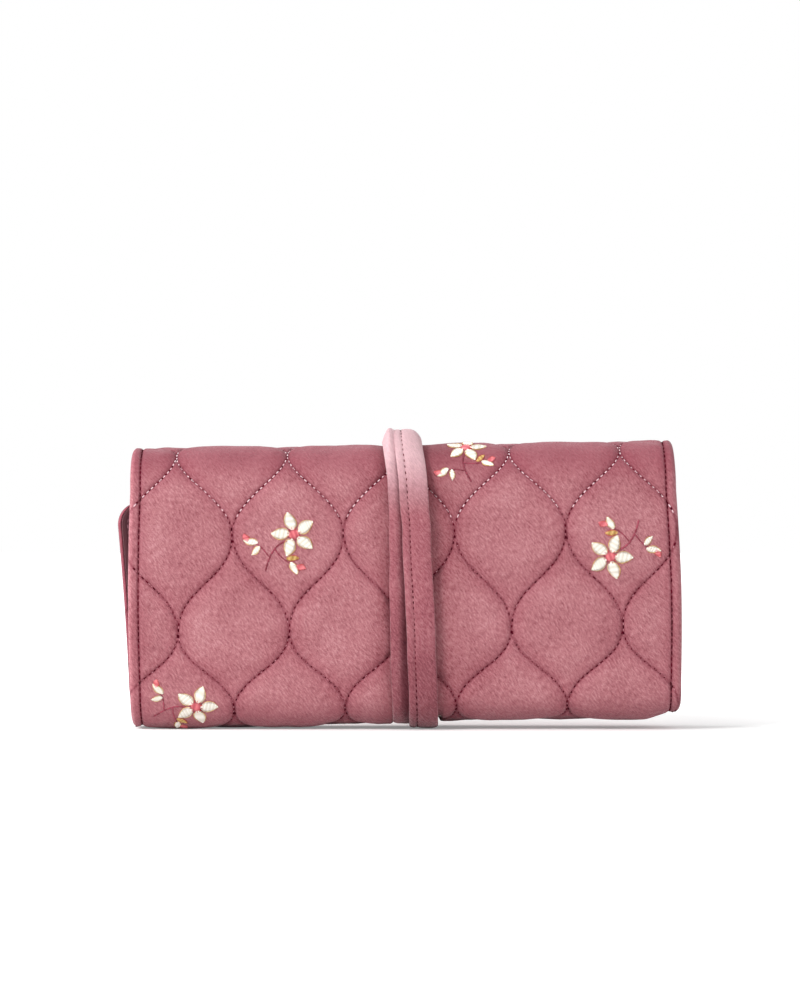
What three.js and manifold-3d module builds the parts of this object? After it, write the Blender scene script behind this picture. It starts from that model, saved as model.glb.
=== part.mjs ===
// Jewelry roll of quilted velvet, closed, with its strap wound twice round it.
// Millimetres, +Z up, the width along X, the front face toward -Y.
// One sheet runs from the back panel's free edge down the back, under the roll, up the front,
// over the top and down to the flap's free edge. "Along" is the length from the first edge.
import * as THREE from 'three';
import { mergeVertices } from 'three/addons/utils/BufferGeometryUtils.js';
import Module from 'manifold-3d';

const wasm = await Module();
wasm.setup();

// Rolled body
const bodyWidth = 230;
const sideTaper = 6;
const bodyHeight = 120;
const bodyDepth = 46;
const topFoldRadius = 20;
const bottomFoldRadius = 16;
const foldCornerRadius = 4;
const foldInset = 0.4;
const edgeZone = 11;
const flapHang = 5;
const backPanelSkew = 10;
const freeCornerRadius = 10.4;
const flapMeetGap = 0.8;
const foldCutGap = 0.5;
const topWidth = bodyWidth - sideTaper;
const backPanelHeight = bodyHeight - topFoldRadius - flapHang;

// Layers of the sheet, from the outside in
const coverThickness = 4.8;
const interliningThickness = 1.2;
const liningThickness = 0.8;
const layerGap = 0.2;

// Quilting: mirrored wavy lines that meet in staggered rows
const quiltPitch = 23.2;
const quiltWideRise = 40.8;
const quiltNarrowRise = 33.6;
const quiltOffset = -2;
const quiltRowHeight = 41.9;
const quiltRowTiltShare = 0.015;
const quiltPeakShare = 0.2;
const quiltChannelDepth = 2.2;
const quiltMeetWidth = 1.2;
const quiltStep = 7.5;
const quiltSideMargin = 0.8;
const edgeRollDepth = 1.6;

// Strap
const strapWidth = 12;
const strapThickness = 1.6;
const strapGap = 0.3;
const strapTopLift = 2.2;
const strapStartAboveFlapEdge = 7.5;
const strapEndBelowFlapEdge = 46.5;
const strapClimbBelowFlapEdge = 6.5;
const strapClimbAboveEnd = 12;
const firstPassTopX = -2.1;
const firstPassBottomX = 1.6;
const secondPassTopX = 1.9;
const secondPassBottomX = 8.4;
const strapChannelMargin = 1.5;
const strapStudRadius = 4.4;
const strapStudHeight = 1.8;
const strapStudInset = 7;
const strapEdgeShare = 0.84;
const strapEdgeThinShare = 0.4;

// Zipped pockets
const pocketSideMargin = 15;
const pocketBottom = 20;
const pocketAboveZip = 15;
const frontPocketTopMargin = 3;
const backPocketTopMargin = 14;
const pocketRise = 2.7;
const pocketFabric = 0.8;
const pocketRim = 3;
const seatGap = 0.3;
const zipSlitMargin = 5;
const zipSlitWidth = 10;
const tapeTuck = 1;
const tapeHalfWidth = 11;
const tapeThickness = 0.4;
const tapeRise = 1.3;
const rowEndMargin = 5;
const toothPitch = 3.6;
const toothReach = 1.1;
const rowInner = 0.8;
const rowSpine = 0.7;
const toothHeight = 1.4;
const stopLength = 2.2;
const toothShares = [0.1, 0.22, 0.58, 0.7];

// Zip slider and pull
const sliderLength = 9;
const sliderPlate = 0.7;
const sliderLip = 0.6;
const postHalfWidth = 0.5;
const bridgeHalfWidth = 0.7;
const bridgeReach = 2.4;
const bridgeWall = 0.8;
const pullThickness = 1;
const pullLength = 14;
const pullWidth = 5.2;
const pullTipWidth = 4;
const pullArm = 1.1;
const pullEyeLength = 3.1;
const pullHoleRadius = 0.9;
const pullHoleInset = 3.2;
const pullClearance = 0.25;

// Ring bar
const ringBarSideMargin = 28;
const ringBarRadius = 7.5;
const ringBarEndRadius = 3.2;
const ringBarTaper = 9;
const ringBarShoulderShare = 0.86;
const ringBarTaperShare = 0.45;
const ringBarCentre = 1;
const ringTabWidth = 13;
const ringTabLength = 11;
const ringTabThickness = 1.4;
const ringTabOverlap = 6;
const anchorLength = 7;
const anchorThickness = 2.6;
const snapCapRadius = 4.6;
const snapCapHeight = 1.5;
const snapSocketRadius = 4;
const snapSocketHeight = 1.3;
const snapBaseHeight = 0.7;
const snapStudRadius = 1.6;
const snapStudReach = 1;
const capRimShare = 0.3;
const capShoulderShare = 0.82;
const capCrownShare = 0.4;

// Lengths and heights that follow from these
const strapStartHeight = backPanelHeight + strapStartAboveFlapEdge;
const strapEndHeight = backPanelHeight - strapEndBelowFlapEdge;
const strapClimbStartHeight = strapEndHeight + strapClimbAboveEnd;
const strapClimbEndHeight = backPanelHeight - strapClimbBelowFlapEdge;
const frontZipHeight = bodyHeight - topFoldRadius - frontPocketTopMargin - pocketAboveZip;
const backZipHeight = backPanelHeight - backPocketTopMargin - pocketAboveZip;
const pocketLength = bodyWidth - 2 * pocketSideMargin;
const zipSlitLength = pocketLength - 2 * zipSlitMargin;
const tapeLength = zipSlitLength + 2 * tapeTuck;
const rowLength = zipSlitLength - 2 * rowEndMargin;
const ringBarLength = bodyWidth - 2 * ringBarSideMargin;

// Smoothness
const foldSteps = 6;
const roundSides = 20;
const overrun = 5;
const weldDistance = 0.001;

const quarterTurn = Math.PI / 2;
const edgeShares = [0, 0.12, 0.4, 0.65, 1];
const edgeReliefShares = [1, 0.1, 1, 0.4, 0.2];

const velvet = { color: '#b87884', roughness: 0.95, metalness: 0 };
const strapVelvet = { color: '#c28c96', roughness: 0.95, metalness: 0 };
const lining = { color: '#5a2d37', roughness: 0.8, metalness: 0 };
const foam = { color: '#e6e0d8', roughness: 0.9, metalness: 0 };
const pocketVelvet = { color: '#7a3f4c', roughness: 0.9, metalness: 0 };
const tapeCloth = { color: '#8a4a58', roughness: 0.85, metalness: 0 };
const brass = { color: '#c9a45c', roughness: 0.35, metalness: 1 };

function mix(a, b, share) {
  return a + (b - a) * share;
}

function clamp01(value) {
  return Math.min(1, Math.max(0, value));
}

// The sheet's line in the Y-Z plane, as straight runs and quarter turns
function sheetRuns() {
  const runs = [];
  const pen = { y: bodyDepth / 2, z: backPanelHeight, heading: -quarterTurn, along: 0 };
  function add(length, radius) {
    const run = { start: pen.along, end: pen.along + length, radius, y: pen.y, z: pen.z, heading: pen.heading };
    runs.push(run);
    const end = pointOnRun(run, length);
    Object.assign(pen, { y: end.y, z: end.z, heading: end.heading, along: run.end });
  }
  add(backPanelHeight - bottomFoldRadius, 0);
  add(quarterTurn * bottomFoldRadius, bottomFoldRadius);
  add(bodyDepth - 2 * bottomFoldRadius, 0);
  add(quarterTurn * bottomFoldRadius, bottomFoldRadius);
  add(bodyHeight - bottomFoldRadius - topFoldRadius, 0);
  add(quarterTurn * topFoldRadius, topFoldRadius);
  add(bodyDepth - 2 * topFoldRadius, 0);
  add(quarterTurn * topFoldRadius, topFoldRadius);
  add(bodyHeight - topFoldRadius - backPanelHeight, 0);
  return runs;
}

function pointOnRun(run, distance) {
  const heading = run.radius > 0 ? run.heading - distance / run.radius : run.heading;
  const ny = -Math.sin(heading);
  const nz = Math.cos(heading);
  if (run.radius > 0) {
    const centreY = run.y + Math.sin(run.heading) * run.radius;
    const centreZ = run.z - Math.cos(run.heading) * run.radius;
    return { y: centreY + ny * run.radius, z: centreZ + nz * run.radius, ny, nz, heading };
  }
  const y = run.y + Math.cos(heading) * distance;
  const z = run.z + Math.sin(heading) * distance;
  return { y, z, ny, nz, heading };
}

const runs = sheetRuns();
const [, backBottomTurn, , frontBottomTurn, frontRun, frontTopTurn, , backTopTurn] = runs;
const loopLength = runs[runs.length - 1].end;
const flapEnd = loopLength - flapMeetGap;

function skinAt(along) {
  const wrapped = ((along % loopLength) + loopLength) % loopLength;
  const run = runs.find((candidate) => wrapped <= candidate.end) ?? runs[runs.length - 1];
  return pointOnRun(run, wrapped - run.start);
}

// The five stretches of the sheet, cut in the middle of each quarter turn
const middleOf = (run) => (run.start + run.end) / 2;
const stretches = {
  back: { from: 0, to: middleOf(backBottomTurn) - foldCutGap / 2 },
  bottom_fold: { from: middleOf(backBottomTurn) + foldCutGap / 2, to: middleOf(frontBottomTurn) - foldCutGap / 2 },
  front: { from: middleOf(frontBottomTurn) + foldCutGap / 2, to: middleOf(frontTopTurn) - foldCutGap / 2 },
  top_fold: { from: middleOf(frontTopTurn) + foldCutGap / 2, to: middleOf(backTopTurn) - foldCutGap / 2 },
  flap: { from: middleOf(backTopTurn) + foldCutGap / 2, to: flapEnd },
};

// Places along a stretch: its ends, the turns' steps, and on straight runs an even step where one is asked
function stationsBetween(from, to, straightStep) {
  const places = [from, to];
  for (const run of runs) {
    const length = run.end - run.start;
    const steps = run.radius > 0 ? foldSteps : Math.max(1, Math.round(length / straightStep));
    for (let step = 0; step <= steps; step += 1) {
      places.push(run.start + (length * step) / steps);
    }
  }
  for (const corner of edgeShares) {
    places.push(freeCornerRadius * corner);
    places.push(flapEnd - freeCornerRadius * corner);
  }
  const least = foldCutGap / 2;
  const inside = places.filter((place) => place === from || place === to || (place > from + least && place < to - least));
  const ordered = [...new Set(inside)].sort((a, b) => a - b);
  return ordered.filter((place, i) => i === 0 || place - ordered[i - 1] > least || place === to);
}

// How far up the straight panels a height lies, from the bottom turns to the top turns
function riseShare(z) {
  return clamp01((z - bottomFoldRadius) / (bodyHeight - bottomFoldRadius - topFoldRadius));
}

function sideMeasures(along) {
  const skin = skinAt(along);
  const rise = riseShare(skin.z);
  const half = mix(bodyWidth, topWidth, rise) / 2;
  const foldShare = skin.nz * skin.nz;
  const freeDistance = Math.min(along, Math.abs(flapEnd - along));
  const reach = Math.max(0, freeCornerRadius - freeDistance);
  const freeInset = freeCornerRadius - Math.sqrt(freeCornerRadius * freeCornerRadius - reach * reach);
  const skew = -backPanelSkew * Math.max(0, 1 - along / frontBottomTurn.start);
  const outer = half - foldInset * foldShare - freeInset;
  return { skin, half, foldShare, skew, inner: half - edgeZone, outer };
}

// The folds round off toward their open ends
function foldDroop(side, x) {
  const past = Math.max(0, Math.abs(x) - side.half + foldCornerRadius);
  return side.foldShare * (foldCornerRadius - Math.sqrt(Math.max(0, foldCornerRadius * foldCornerRadius - past * past)));
}

function sheetPoint(side, x, depth) {
  const inward = depth + foldDroop(side, x);
  const y = side.skin.y - side.skin.ny * inward;
  const z = side.skin.z - side.skin.nz * inward;
  return new THREE.Vector3(x + side.skew, y, z);
}

// Quilting lines that fit between the rounded sides at the narrower top
const quiltSwing = (quiltPitch - quiltMeetWidth) / 2;
const quiltRoom = topWidth / 2 - edgeZone - quiltSideMargin;
const quiltLines = [];
for (let line = -Math.ceil(bodyWidth / quiltPitch); line <= Math.ceil(bodyWidth / quiltPitch); line += 1) {
  const middle = quiltOffset + (line + 0.5) * quiltPitch;
  if (Math.abs(middle) + quiltSwing <= quiltRoom) {
    quiltLines.push({ middle, side: Math.abs(line) % 2 === 0 ? -1 : 1 });
  }
}

// A line swings out over the wide part of a cell and back over its narrow part, and runs straight where lines meet
function quiltLineX(line, along) {
  const height = along - frontRun.start + bottomFoldRadius - quiltRowHeight - quiltRowTiltShare * line.middle;
  const wave = quiltWideRise + quiltNarrowRise;
  const risen = ((height % wave) + wave) % wave;
  const narrow = (risen - quiltWideRise) / quiltNarrowRise;
  const phase = risen < quiltWideRise ? risen / quiltWideRise : 1 + narrow;
  const swing = Math.cos(Math.PI * phase);
  return line.middle + line.side * quiltSwing * swing * (1 + quiltPeakShare * (1 - swing * swing));
}

function quiltColumns(side, along) {
  const relief = side.skin.nz < 0 ? 1 - side.foldShare : 1;
  const lines = quiltLines.map((line) => quiltLineX(line, along));
  const widest = 2 * quiltPitch - quiltMeetWidth;
  const columns = [];
  const edgeX = edgeShares.map((share) => mix(side.outer, side.inner, share));
  edgeX.forEach((x, i) => columns.push({ x: -x, depth: edgeRollDepth * edgeReliefShares[i] * relief }));
  lines.forEach((x, i) => {
    if (i > 0) {
      const width = x - lines[i - 1];
      const puff = Math.sqrt(width / widest);
      columns.push({ x: (x + lines[i - 1]) / 2, depth: quiltChannelDepth * (1 - puff) * relief });
    }
    columns.push({ x, depth: quiltChannelDepth * relief });
  });
  for (let i = edgeX.length - 1; i >= 0; i -= 1) {
    columns.push({ x: edgeX[i], depth: edgeRollDepth * edgeReliefShares[i] * relief });
  }
  return columns;
}

function plainColumns(side) {
  const edgeX = edgeShares.map((share) => mix(side.outer, side.inner, share));
  return [...edgeX.map((x) => -x), ...edgeX.slice().reverse()];
}

function quad(index, a, b, c, d) {
  index.push(a, b, c, a, c, d);
}

// One closed body from an outside and an inside grid of points
function slabGeometry(outside, inside) {
  const rows = outside.length;
  const columns = outside[0].length;
  const index = [];
  const outer = (row, column) => row * columns + column;
  const inner = (row, column) => rows * columns + outer(row, column);
  for (let r = 0; r < rows - 1; r += 1) {
    for (let c = 0; c < columns - 1; c += 1) {
      quad(index, outer(r, c), outer(r, c + 1), outer(r + 1, c + 1), outer(r + 1, c));
      quad(index, inner(r, c), inner(r + 1, c), inner(r + 1, c + 1), inner(r, c + 1));
    }
    quad(index, outer(r, 0), outer(r + 1, 0), inner(r + 1, 0), inner(r, 0));
    const last = columns - 1;
    quad(index, outer(r + 1, last), outer(r, last), inner(r, last), inner(r + 1, last));
  }
  for (let c = 0; c < columns - 1; c += 1) {
    const end = rows - 1;
    quad(index, outer(0, c + 1), outer(0, c), inner(0, c), inner(0, c + 1));
    quad(index, outer(end, c), outer(end, c + 1), inner(end, c + 1), inner(end, c));
  }
  const geometry = new THREE.BufferGeometry().setFromPoints([...outside.flat(), ...inside.flat()]);
  geometry.setIndex(index);
  return geometry;
}

// Joining and cutting
function solidOf(geometry) {
  const bare = geometry.clone();
  bare.deleteAttribute('normal');
  bare.deleteAttribute('uv');
  const merged = mergeVertices(bare);
  const vertProperties = Float32Array.from(merged.attributes.position.array);
  const triVerts = Uint32Array.from(merged.index.array);
  return new wasm.Manifold(new wasm.Mesh({ numProp: 3, vertProperties, triVerts }));
}

function geometryOf(solid) {
  const mesh = solid.getMesh();
  const geometry = new THREE.BufferGeometry();
  geometry.setAttribute('position', new THREE.BufferAttribute(Float32Array.from(mesh.vertProperties), mesh.numProp));
  geometry.setIndex(new THREE.BufferAttribute(Uint32Array.from(mesh.triVerts), 1));
  return welded(geometry);
}

// Corners that a cut leaves on top of each other become one
function welded(geometry) {
  const merged = mergeVertices(geometry, weldDistance);
  const corners = merged.index.array;
  const kept = [];
  for (let i = 0; i < corners.length; i += 3) {
    const [a, b, c] = corners.slice(i, i + 3);
    if (a !== b && b !== c && c !== a) {
      kept.push(a, b, c);
    }
  }
  merged.setIndex(kept);
  return merged;
}

function joined(...geometries) {
  return geometryOf(geometries.map(solidOf).reduce((whole, piece) => whole.add(piece)));
}

function cut(geometry, ...tools) {
  return geometryOf(tools.map(solidOf).reduce((whole, tool) => whole.subtract(tool), solidOf(geometry)));
}

function box(sizeX, sizeY, sizeZ, x, y, z) {
  return new THREE.BoxGeometry(sizeX, sizeY, sizeZ).translate(x, y, z);
}

function outline(points) {
  return new THREE.Shape(points.map(([x, y]) => new THREE.Vector2(x, y)));
}

function extruded(shape, depth) {
  return new THREE.ExtrudeGeometry(shape, { depth, bevelEnabled: false, curveSegments: roundSides / 2 });
}

function named(name, geometry, finish) {
  geometry.deleteAttribute('normal');
  geometry.computeVertexNormals();
  const mesh = new THREE.Mesh(geometry, new THREE.MeshStandardMaterial(finish));
  mesh.name = name;
  return mesh;
}

// Quilted cover, with the hollow that the strap is pressed into round the bottom
function sheetGrid(places, columnsAt, depthOf) {
  return places.map((along) => {
    const side = sideMeasures(along);
    return columnsAt(side, along).map((column) => sheetPoint(side, column.x, depthOf(column)));
  });
}

function strapHollow() {
  const places = stationsBetween(backBottomTurn.start, frontBottomTurn.end, bodyDepth);
  const floor = places.map((along, i) => {
    const skin = skinAt(along);
    const atEnd = i === 0 || i === places.length - 1;
    const depth = atEnd ? -strapGap : strapDip(skin);
    return [skin.y - skin.ny * depth, skin.z - skin.nz * depth];
  });
  const far = overrun + bodyDepth / 2;
  const profile = outline([...floor, [-far, bottomFoldRadius], [-far, -far], [far, -far], [far, bottomFoldRadius]]);
  const left = firstPassBottomX - strapWidth / 2 - strapChannelMargin;
  const right = secondPassBottomX + strapWidth / 2 + strapChannelMargin;
  const hollow = extruded(profile, right - left);
  hollow.applyMatrix4(new THREE.Matrix4().makeBasis(
    new THREE.Vector3(0, 1, 0),
    new THREE.Vector3(0, 0, 1),
    new THREE.Vector3(1, 0, 0),
  ));
  return hollow.translate(left, 0, 0);
}

function quiltedCover(stretch) {
  const places = stationsBetween(stretch.from, stretch.to, quiltStep);
  const outside = sheetGrid(places, quiltColumns, (column) => column.depth);
  const inside = sheetGrid(places, quiltColumns, () => coverThickness);
  const cover = slabGeometry(outside, inside);
  const crossesHollow = stretch.to > 0 && stretch.from < frontBottomTurn.end;
  return crossesHollow ? cut(cover, strapHollow()) : cover;
}

// The interlining stops short of the turned side edges
function interlining(stretch) {
  const places = stationsBetween(stretch.from, stretch.to, loopLength);
  const depth = coverThickness + layerGap;
  const columns = (side) => [{ x: -side.inner }, { x: side.inner }];
  const outside = sheetGrid(places, columns, () => depth);
  const inside = sheetGrid(places, columns, () => depth + interliningThickness);
  return slabGeometry(outside, inside);
}

const liningDepth = coverThickness + interliningThickness + 2 * layerGap;
const innerDepth = liningDepth + liningThickness;

function liningSheet(stretch) {
  const places = stationsBetween(stretch.from, stretch.to, loopLength);
  const columns = (side) => plainColumns(side).map((x) => ({ x }));
  const outside = sheetGrid(places, columns, () => liningDepth);
  const inside = sheetGrid(places, columns, () => innerDepth);
  return slabGeometry(outside, inside);
}

// Strap: it starts on the flap, runs over the top and down the front, and goes round twice
const strapLayer = strapThickness + strapGap;
const strapProud = 2 * strapLayer;

function strapDip(skin) {
  return skin.nz < 0 ? strapProud * skin.nz * skin.nz : 0;
}

const backAlong = (z) => backPanelHeight - z;
const strapStart = backAlong(strapStartHeight) + loopLength;
const strapEnd = backAlong(strapEndHeight) - loopLength;

function strapPlan() {
  return [
    { along: strapStart, x: firstPassTopX, lift: 0 },
    { along: frontTopTurn.start, x: firstPassTopX, lift: 0 },
    { along: frontBottomTurn.end, x: firstPassBottomX, lift: 0 },
    { along: backAlong(strapClimbStartHeight), x: mix(firstPassBottomX, secondPassTopX, 0.5), lift: 0 },
    { along: backAlong(strapClimbEndHeight), x: secondPassTopX, lift: strapLayer },
    { along: frontTopTurn.start - loopLength, x: secondPassTopX, lift: strapLayer },
    { along: frontBottomTurn.end - loopLength, x: secondPassBottomX, lift: strapLayer },
    { along: strapEnd, x: secondPassBottomX, lift: strapLayer },
  ];
}

function planAt(plan, along) {
  const next = Math.max(1, plan.findIndex((place) => along >= place.along - layerGap / 2));
  const a = plan[next - 1];
  const b = plan[next];
  const share = clamp01((a.along - along) / (a.along - b.along));
  const smooth = share * share * (3 - 2 * share);
  return { x: mix(a.x, b.x, share), lift: mix(a.lift, b.lift, smooth) };
}

function strapPlaces(plan) {
  const places = plan.map((place) => place.along);
  for (const turn of [1, 0, -1]) {
    for (const run of runs) {
      const steps = run.radius > 0 ? foldSteps : 4;
      for (let step = 0; step <= steps; step += 1) {
        places.push(turn * loopLength + mix(run.start, run.end, step / steps));
      }
    }
  }
  const least = strapThickness;
  const inside = places.filter((place) => place <= strapStart && place >= strapEnd).sort((a, b) => b - a);
  const kept = [];
  for (const place of inside) {
    const previous = kept[kept.length - 1];
    if (kept.length === 0 || previous - place > least) {
      kept.push(place);
    }
  }
  kept[kept.length - 1] = strapEnd;
  return kept;
}

function strapBand() {
  const plan = strapPlan();
  const widthShares = [-1, -strapEdgeShare, 0, strapEdgeShare, 1];
  const thicknessShares = [strapEdgeThinShare, 1, 1, 1, strapEdgeThinShare];
  const grid = (face) => strapPlaces(plan).reverse().map((along) => {
    const skin = skinAt(along);
    const place = planAt(plan, along);
    const lift = skin.nz > 0 ? strapTopLift * skin.nz * skin.nz : -strapDip(skin);
    return widthShares.map((share, i) => {
      const halfThickness = (strapThickness / 2) * thicknessShares[i] * face;
      const out = strapGap + strapThickness / 2 + place.lift + lift + halfThickness;
      const x = place.x + (strapWidth / 2) * share;
      return new THREE.Vector3(x, skin.y + skin.ny * out, skin.z + skin.nz * out);
    });
  });
  return slabGeometry(grid(1), grid(-1));
}

function strapStud() {
  const y = bodyDepth / 2 + strapGap + strapProud;
  const profile = outline([
    [0, 0],
    [strapStudRadius, 0],
    [strapStudRadius, strapStudHeight * capRimShare],
    [strapStudRadius * capShoulderShare, strapStudHeight * capShoulderShare],
    [strapStudRadius * capCrownShare, strapStudHeight],
    [0, strapStudHeight],
  ]);
  const stud = new THREE.LatheGeometry(profile.getPoints(), roundSides);
  const x = (firstPassBottomX + secondPassBottomX) / 2 + strapGap;
  return stud.translate(x, y, strapEndHeight - strapStudInset);
}

// A zip's own frame: X along the zip, Y out of the lining, Z across the zip
const sliderBase = tapeRise - seatGap - sliderLip;
const rowRise = tapeRise + tapeThickness + seatGap;
const rowOuter = rowInner + toothReach + rowSpine;
const plateBase = rowRise + toothHeight + seatGap;
const plateTop = plateBase + sliderPlate;
const flangeInner = rowOuter + seatGap;
const flangeOuter = flangeInner + sliderLip;
const pullRadius = (pullThickness / 2) * Math.SQRT2;
const pullAxisRise = plateTop + pullRadius + pullClearance;
const bridgeUnderside = pullAxisRise + pullRadius + pullClearance;
const bridgeTop = bridgeUnderside + bridgeWall;
const sliderReach = rowLength / 2 - sliderLength / 2;

// Plate of an outline in X-Z, from one height above the lining to another
function plate(shape, from, to) {
  return extruded(shape, to - from).rotateX(quarterTurn).translate(0, to, 0);
}

function rectangle(left, right, low, high) {
  return outline([[left, low], [right, low], [right, high], [left, high]]);
}

function pocketFront(prefix, zipHeight) {
  const low = pocketBottom - zipHeight;
  const half = pocketLength / 2;
  const sheet = plate(rectangle(-half, half, low, pocketAboveZip), seatGap, pocketRise);
  const hollowShape = rectangle(-half + pocketRim, half - pocketRim, low + pocketRim, pocketAboveZip - pocketRim);
  const hollow = plate(hollowShape, seatGap - overrun, pocketRise - pocketFabric);
  const slitShape = rectangle(-zipSlitLength / 2, zipSlitLength / 2, -zipSlitWidth / 2, zipSlitWidth / 2);
  const slit = plate(slitShape, 0, pocketRise + overrun);
  return named(`${prefix}_pocket`, cut(sheet, hollow, slit), pocketVelvet);
}

function zipTape(prefix, place, side) {
  const shape = rectangle(-tapeLength / 2, tapeLength / 2, Math.min(side * rowInner, side * tapeHalfWidth),
    Math.max(side * rowInner, side * tapeHalfWidth));
  return named(`${prefix}_zip_tape_${place}`, plate(shape, tapeRise, tapeRise + tapeThickness), tapeCloth);
}

// One row of teeth on its spine, with the teeth toward the middle of the zip
function toothRow(prefix, place, side) {
  const spineInner = rowInner + toothReach;
  const points = [];
  const count = Math.floor(rowLength / toothPitch);
  const pitch = rowLength / count;
  for (let tooth = 0; tooth < count; tooth += 1) {
    const left = -rowLength / 2 + tooth * pitch;
    toothShares.forEach((share, i) => {
      points.push([left + pitch * share, i === 0 || i === toothShares.length - 1 ? spineInner : rowInner]);
    });
  }
  points.push([rowLength / 2, spineInner], [rowLength / 2, rowOuter], [-rowLength / 2, rowOuter]);
  points.push([-rowLength / 2, spineInner]);
  const row = plate(outline(points), rowRise, rowRise + toothHeight);
  if (side < 0) {
    row.rotateY(Math.PI);
  }
  return named(`${prefix}_zip_teeth_${place}`, row, brass);
}

function zipStop(prefix, place, end) {
  const x = end * (rowLength / 2 + seatGap + stopLength / 2);
  const stop = box(stopLength, toothHeight, 2 * rowOuter, x, rowRise + toothHeight / 2, 0);
  return named(`${prefix}_zip_${place}_stop`, stop, brass);
}

// Slider: two plates on a post, the upper with side flanges, and a bridge for the pull
function zipSlider(prefix) {
  const half = [
    [flangeOuter, sliderBase],
    [flangeOuter, sliderBase + sliderLip],
    [postHalfWidth, sliderBase + sliderLip],
    [postHalfWidth, plateBase],
    [flangeInner, plateBase],
    [flangeInner, rowRise],
    [flangeOuter, rowRise],
    [flangeOuter, plateTop],
  ];
  const mirrored = half.map(([across, rise]) => [-across, rise]).reverse();
  const body = extruded(outline([...half, ...mirrored]), sliderLength).rotateY(quarterTurn);
  body.translate(-sliderLength / 2, 0, 0);
  const inner = bridgeReach - bridgeWall;
  const arch = outline([
    [-bridgeReach, plateTop - sliderPlate / 2],
    [-inner, plateTop - sliderPlate / 2],
    [-inner, bridgeUnderside],
    [inner, bridgeUnderside],
    [inner, plateTop - sliderPlate / 2],
    [bridgeReach, plateTop - sliderPlate / 2],
    [bridgeReach, bridgeUnderside],
    [inner, bridgeTop],
    [-inner, bridgeTop],
    [-bridgeReach, bridgeUnderside],
  ]);
  const bridge = extruded(arch, 2 * bridgeHalfWidth).translate(0, 0, -bridgeHalfWidth);
  return named(`${prefix}_zip_slider`, joined(body, bridge), brass);
}

// Pull: a tapered plate with an eye whose end bar lies under the slider's bridge
function zipPull(prefix) {
  const bar = pullThickness / 2;
  const eyeHalf = pullWidth / 2 - pullArm;
  const tip = pullTipWidth / 2;
  const shape = outline([
    [bar, -pullWidth / 2],
    [bar, pullWidth / 2],
    [-bar - pullEyeLength, pullWidth / 2],
    [-pullLength + tip / 2, tip],
    [-pullLength, tip / 2],
    [-pullLength, -tip / 2],
    [-pullLength + tip / 2, -tip],
    [-bar - pullEyeLength, -pullWidth / 2],
  ]);
  const eye = outline([
    [-bar, -eyeHalf],
    [-bar, eyeHalf],
    [-bar - pullEyeLength, eyeHalf],
    [-bar - pullEyeLength, -eyeHalf],
  ]);
  const hole = new THREE.Path();
  hole.absarc(-pullLength + pullHoleInset, 0, pullHoleRadius, 0, 2 * Math.PI);
  shape.holes.push(eye, hole);
  const geometry = plate(shape, pullAxisRise - bar, pullAxisRise + bar);
  return named(`${prefix}_zip_pull`, geometry, brass);
}

function zippedPocket(prefix, zipHeight, facing) {
  const pocket = new THREE.Group();
  const moving = new THREE.Group();
  moving.add(zipSlider(prefix), zipPull(prefix));
  moving.position.x = sliderReach;
  pocket.add(
    pocketFront(prefix, zipHeight),
    zipTape(prefix, 'upper', 1),
    zipTape(prefix, 'lower', -1),
    toothRow(prefix, 'upper', 1),
    toothRow(prefix, 'lower', -1),
    zipStop(prefix, 'top', 1),
    zipStop(prefix, 'bottom', -1),
    moving,
  );
  pocket.position.set(0, facing * (innerDepth - bodyDepth / 2), zipHeight);
  pocket.rotation.z = facing > 0 ? 0 : Math.PI;
  return pocket;
}

// Ring bar: a stuffed tube with flat sewn tabs at both ends, on the bottom fold's lining
const ringTabBase = innerDepth + seatGap + snapBaseHeight + seatGap + snapSocketHeight + seatGap;
const ringBarRise = innerDepth + seatGap + ringBarRadius;
const ringBarLeft = ringBarCentre - ringBarLength / 2;
const ringBarRight = ringBarCentre + ringBarLength / 2;
const snapX = ringBarRight + ringTabLength - snapCapRadius;

function ringBar() {
  const half = ringBarLength / 2;
  const profile = outline([
    [0, -half],
    [ringBarEndRadius, -half],
    [ringBarRadius * ringBarShoulderShare, -half + ringBarTaper * ringBarTaperShare],
    [ringBarRadius, -half + ringBarTaper],
    [ringBarRadius, half - ringBarTaper],
    [ringBarRadius * ringBarShoulderShare, half - ringBarTaper * ringBarTaperShare],
    [ringBarEndRadius, half],
    [0, half],
  ]);
  const tube = new THREE.LatheGeometry(profile.getPoints(), roundSides).rotateZ(-quarterTurn);
  tube.translate(ringBarCentre, 0, ringBarRise);
  const tabZ = ringTabBase + ringTabThickness / 2;
  const size = ringTabLength + ringTabOverlap;
  const free = box(size, ringTabWidth, ringTabThickness, ringBarRight + ringTabLength - size / 2, 0, tabZ);
  const sewn = box(size, ringTabWidth, ringTabThickness, ringBarLeft - ringTabLength + size / 2, 0, tabZ);
  return named('ring_bar', joined(tube, free, sewn), pocketVelvet);
}

function turned(points, sides) {
  return new THREE.LatheGeometry(outline(points).getPoints(), sides).rotateX(quarterTurn);
}

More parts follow.
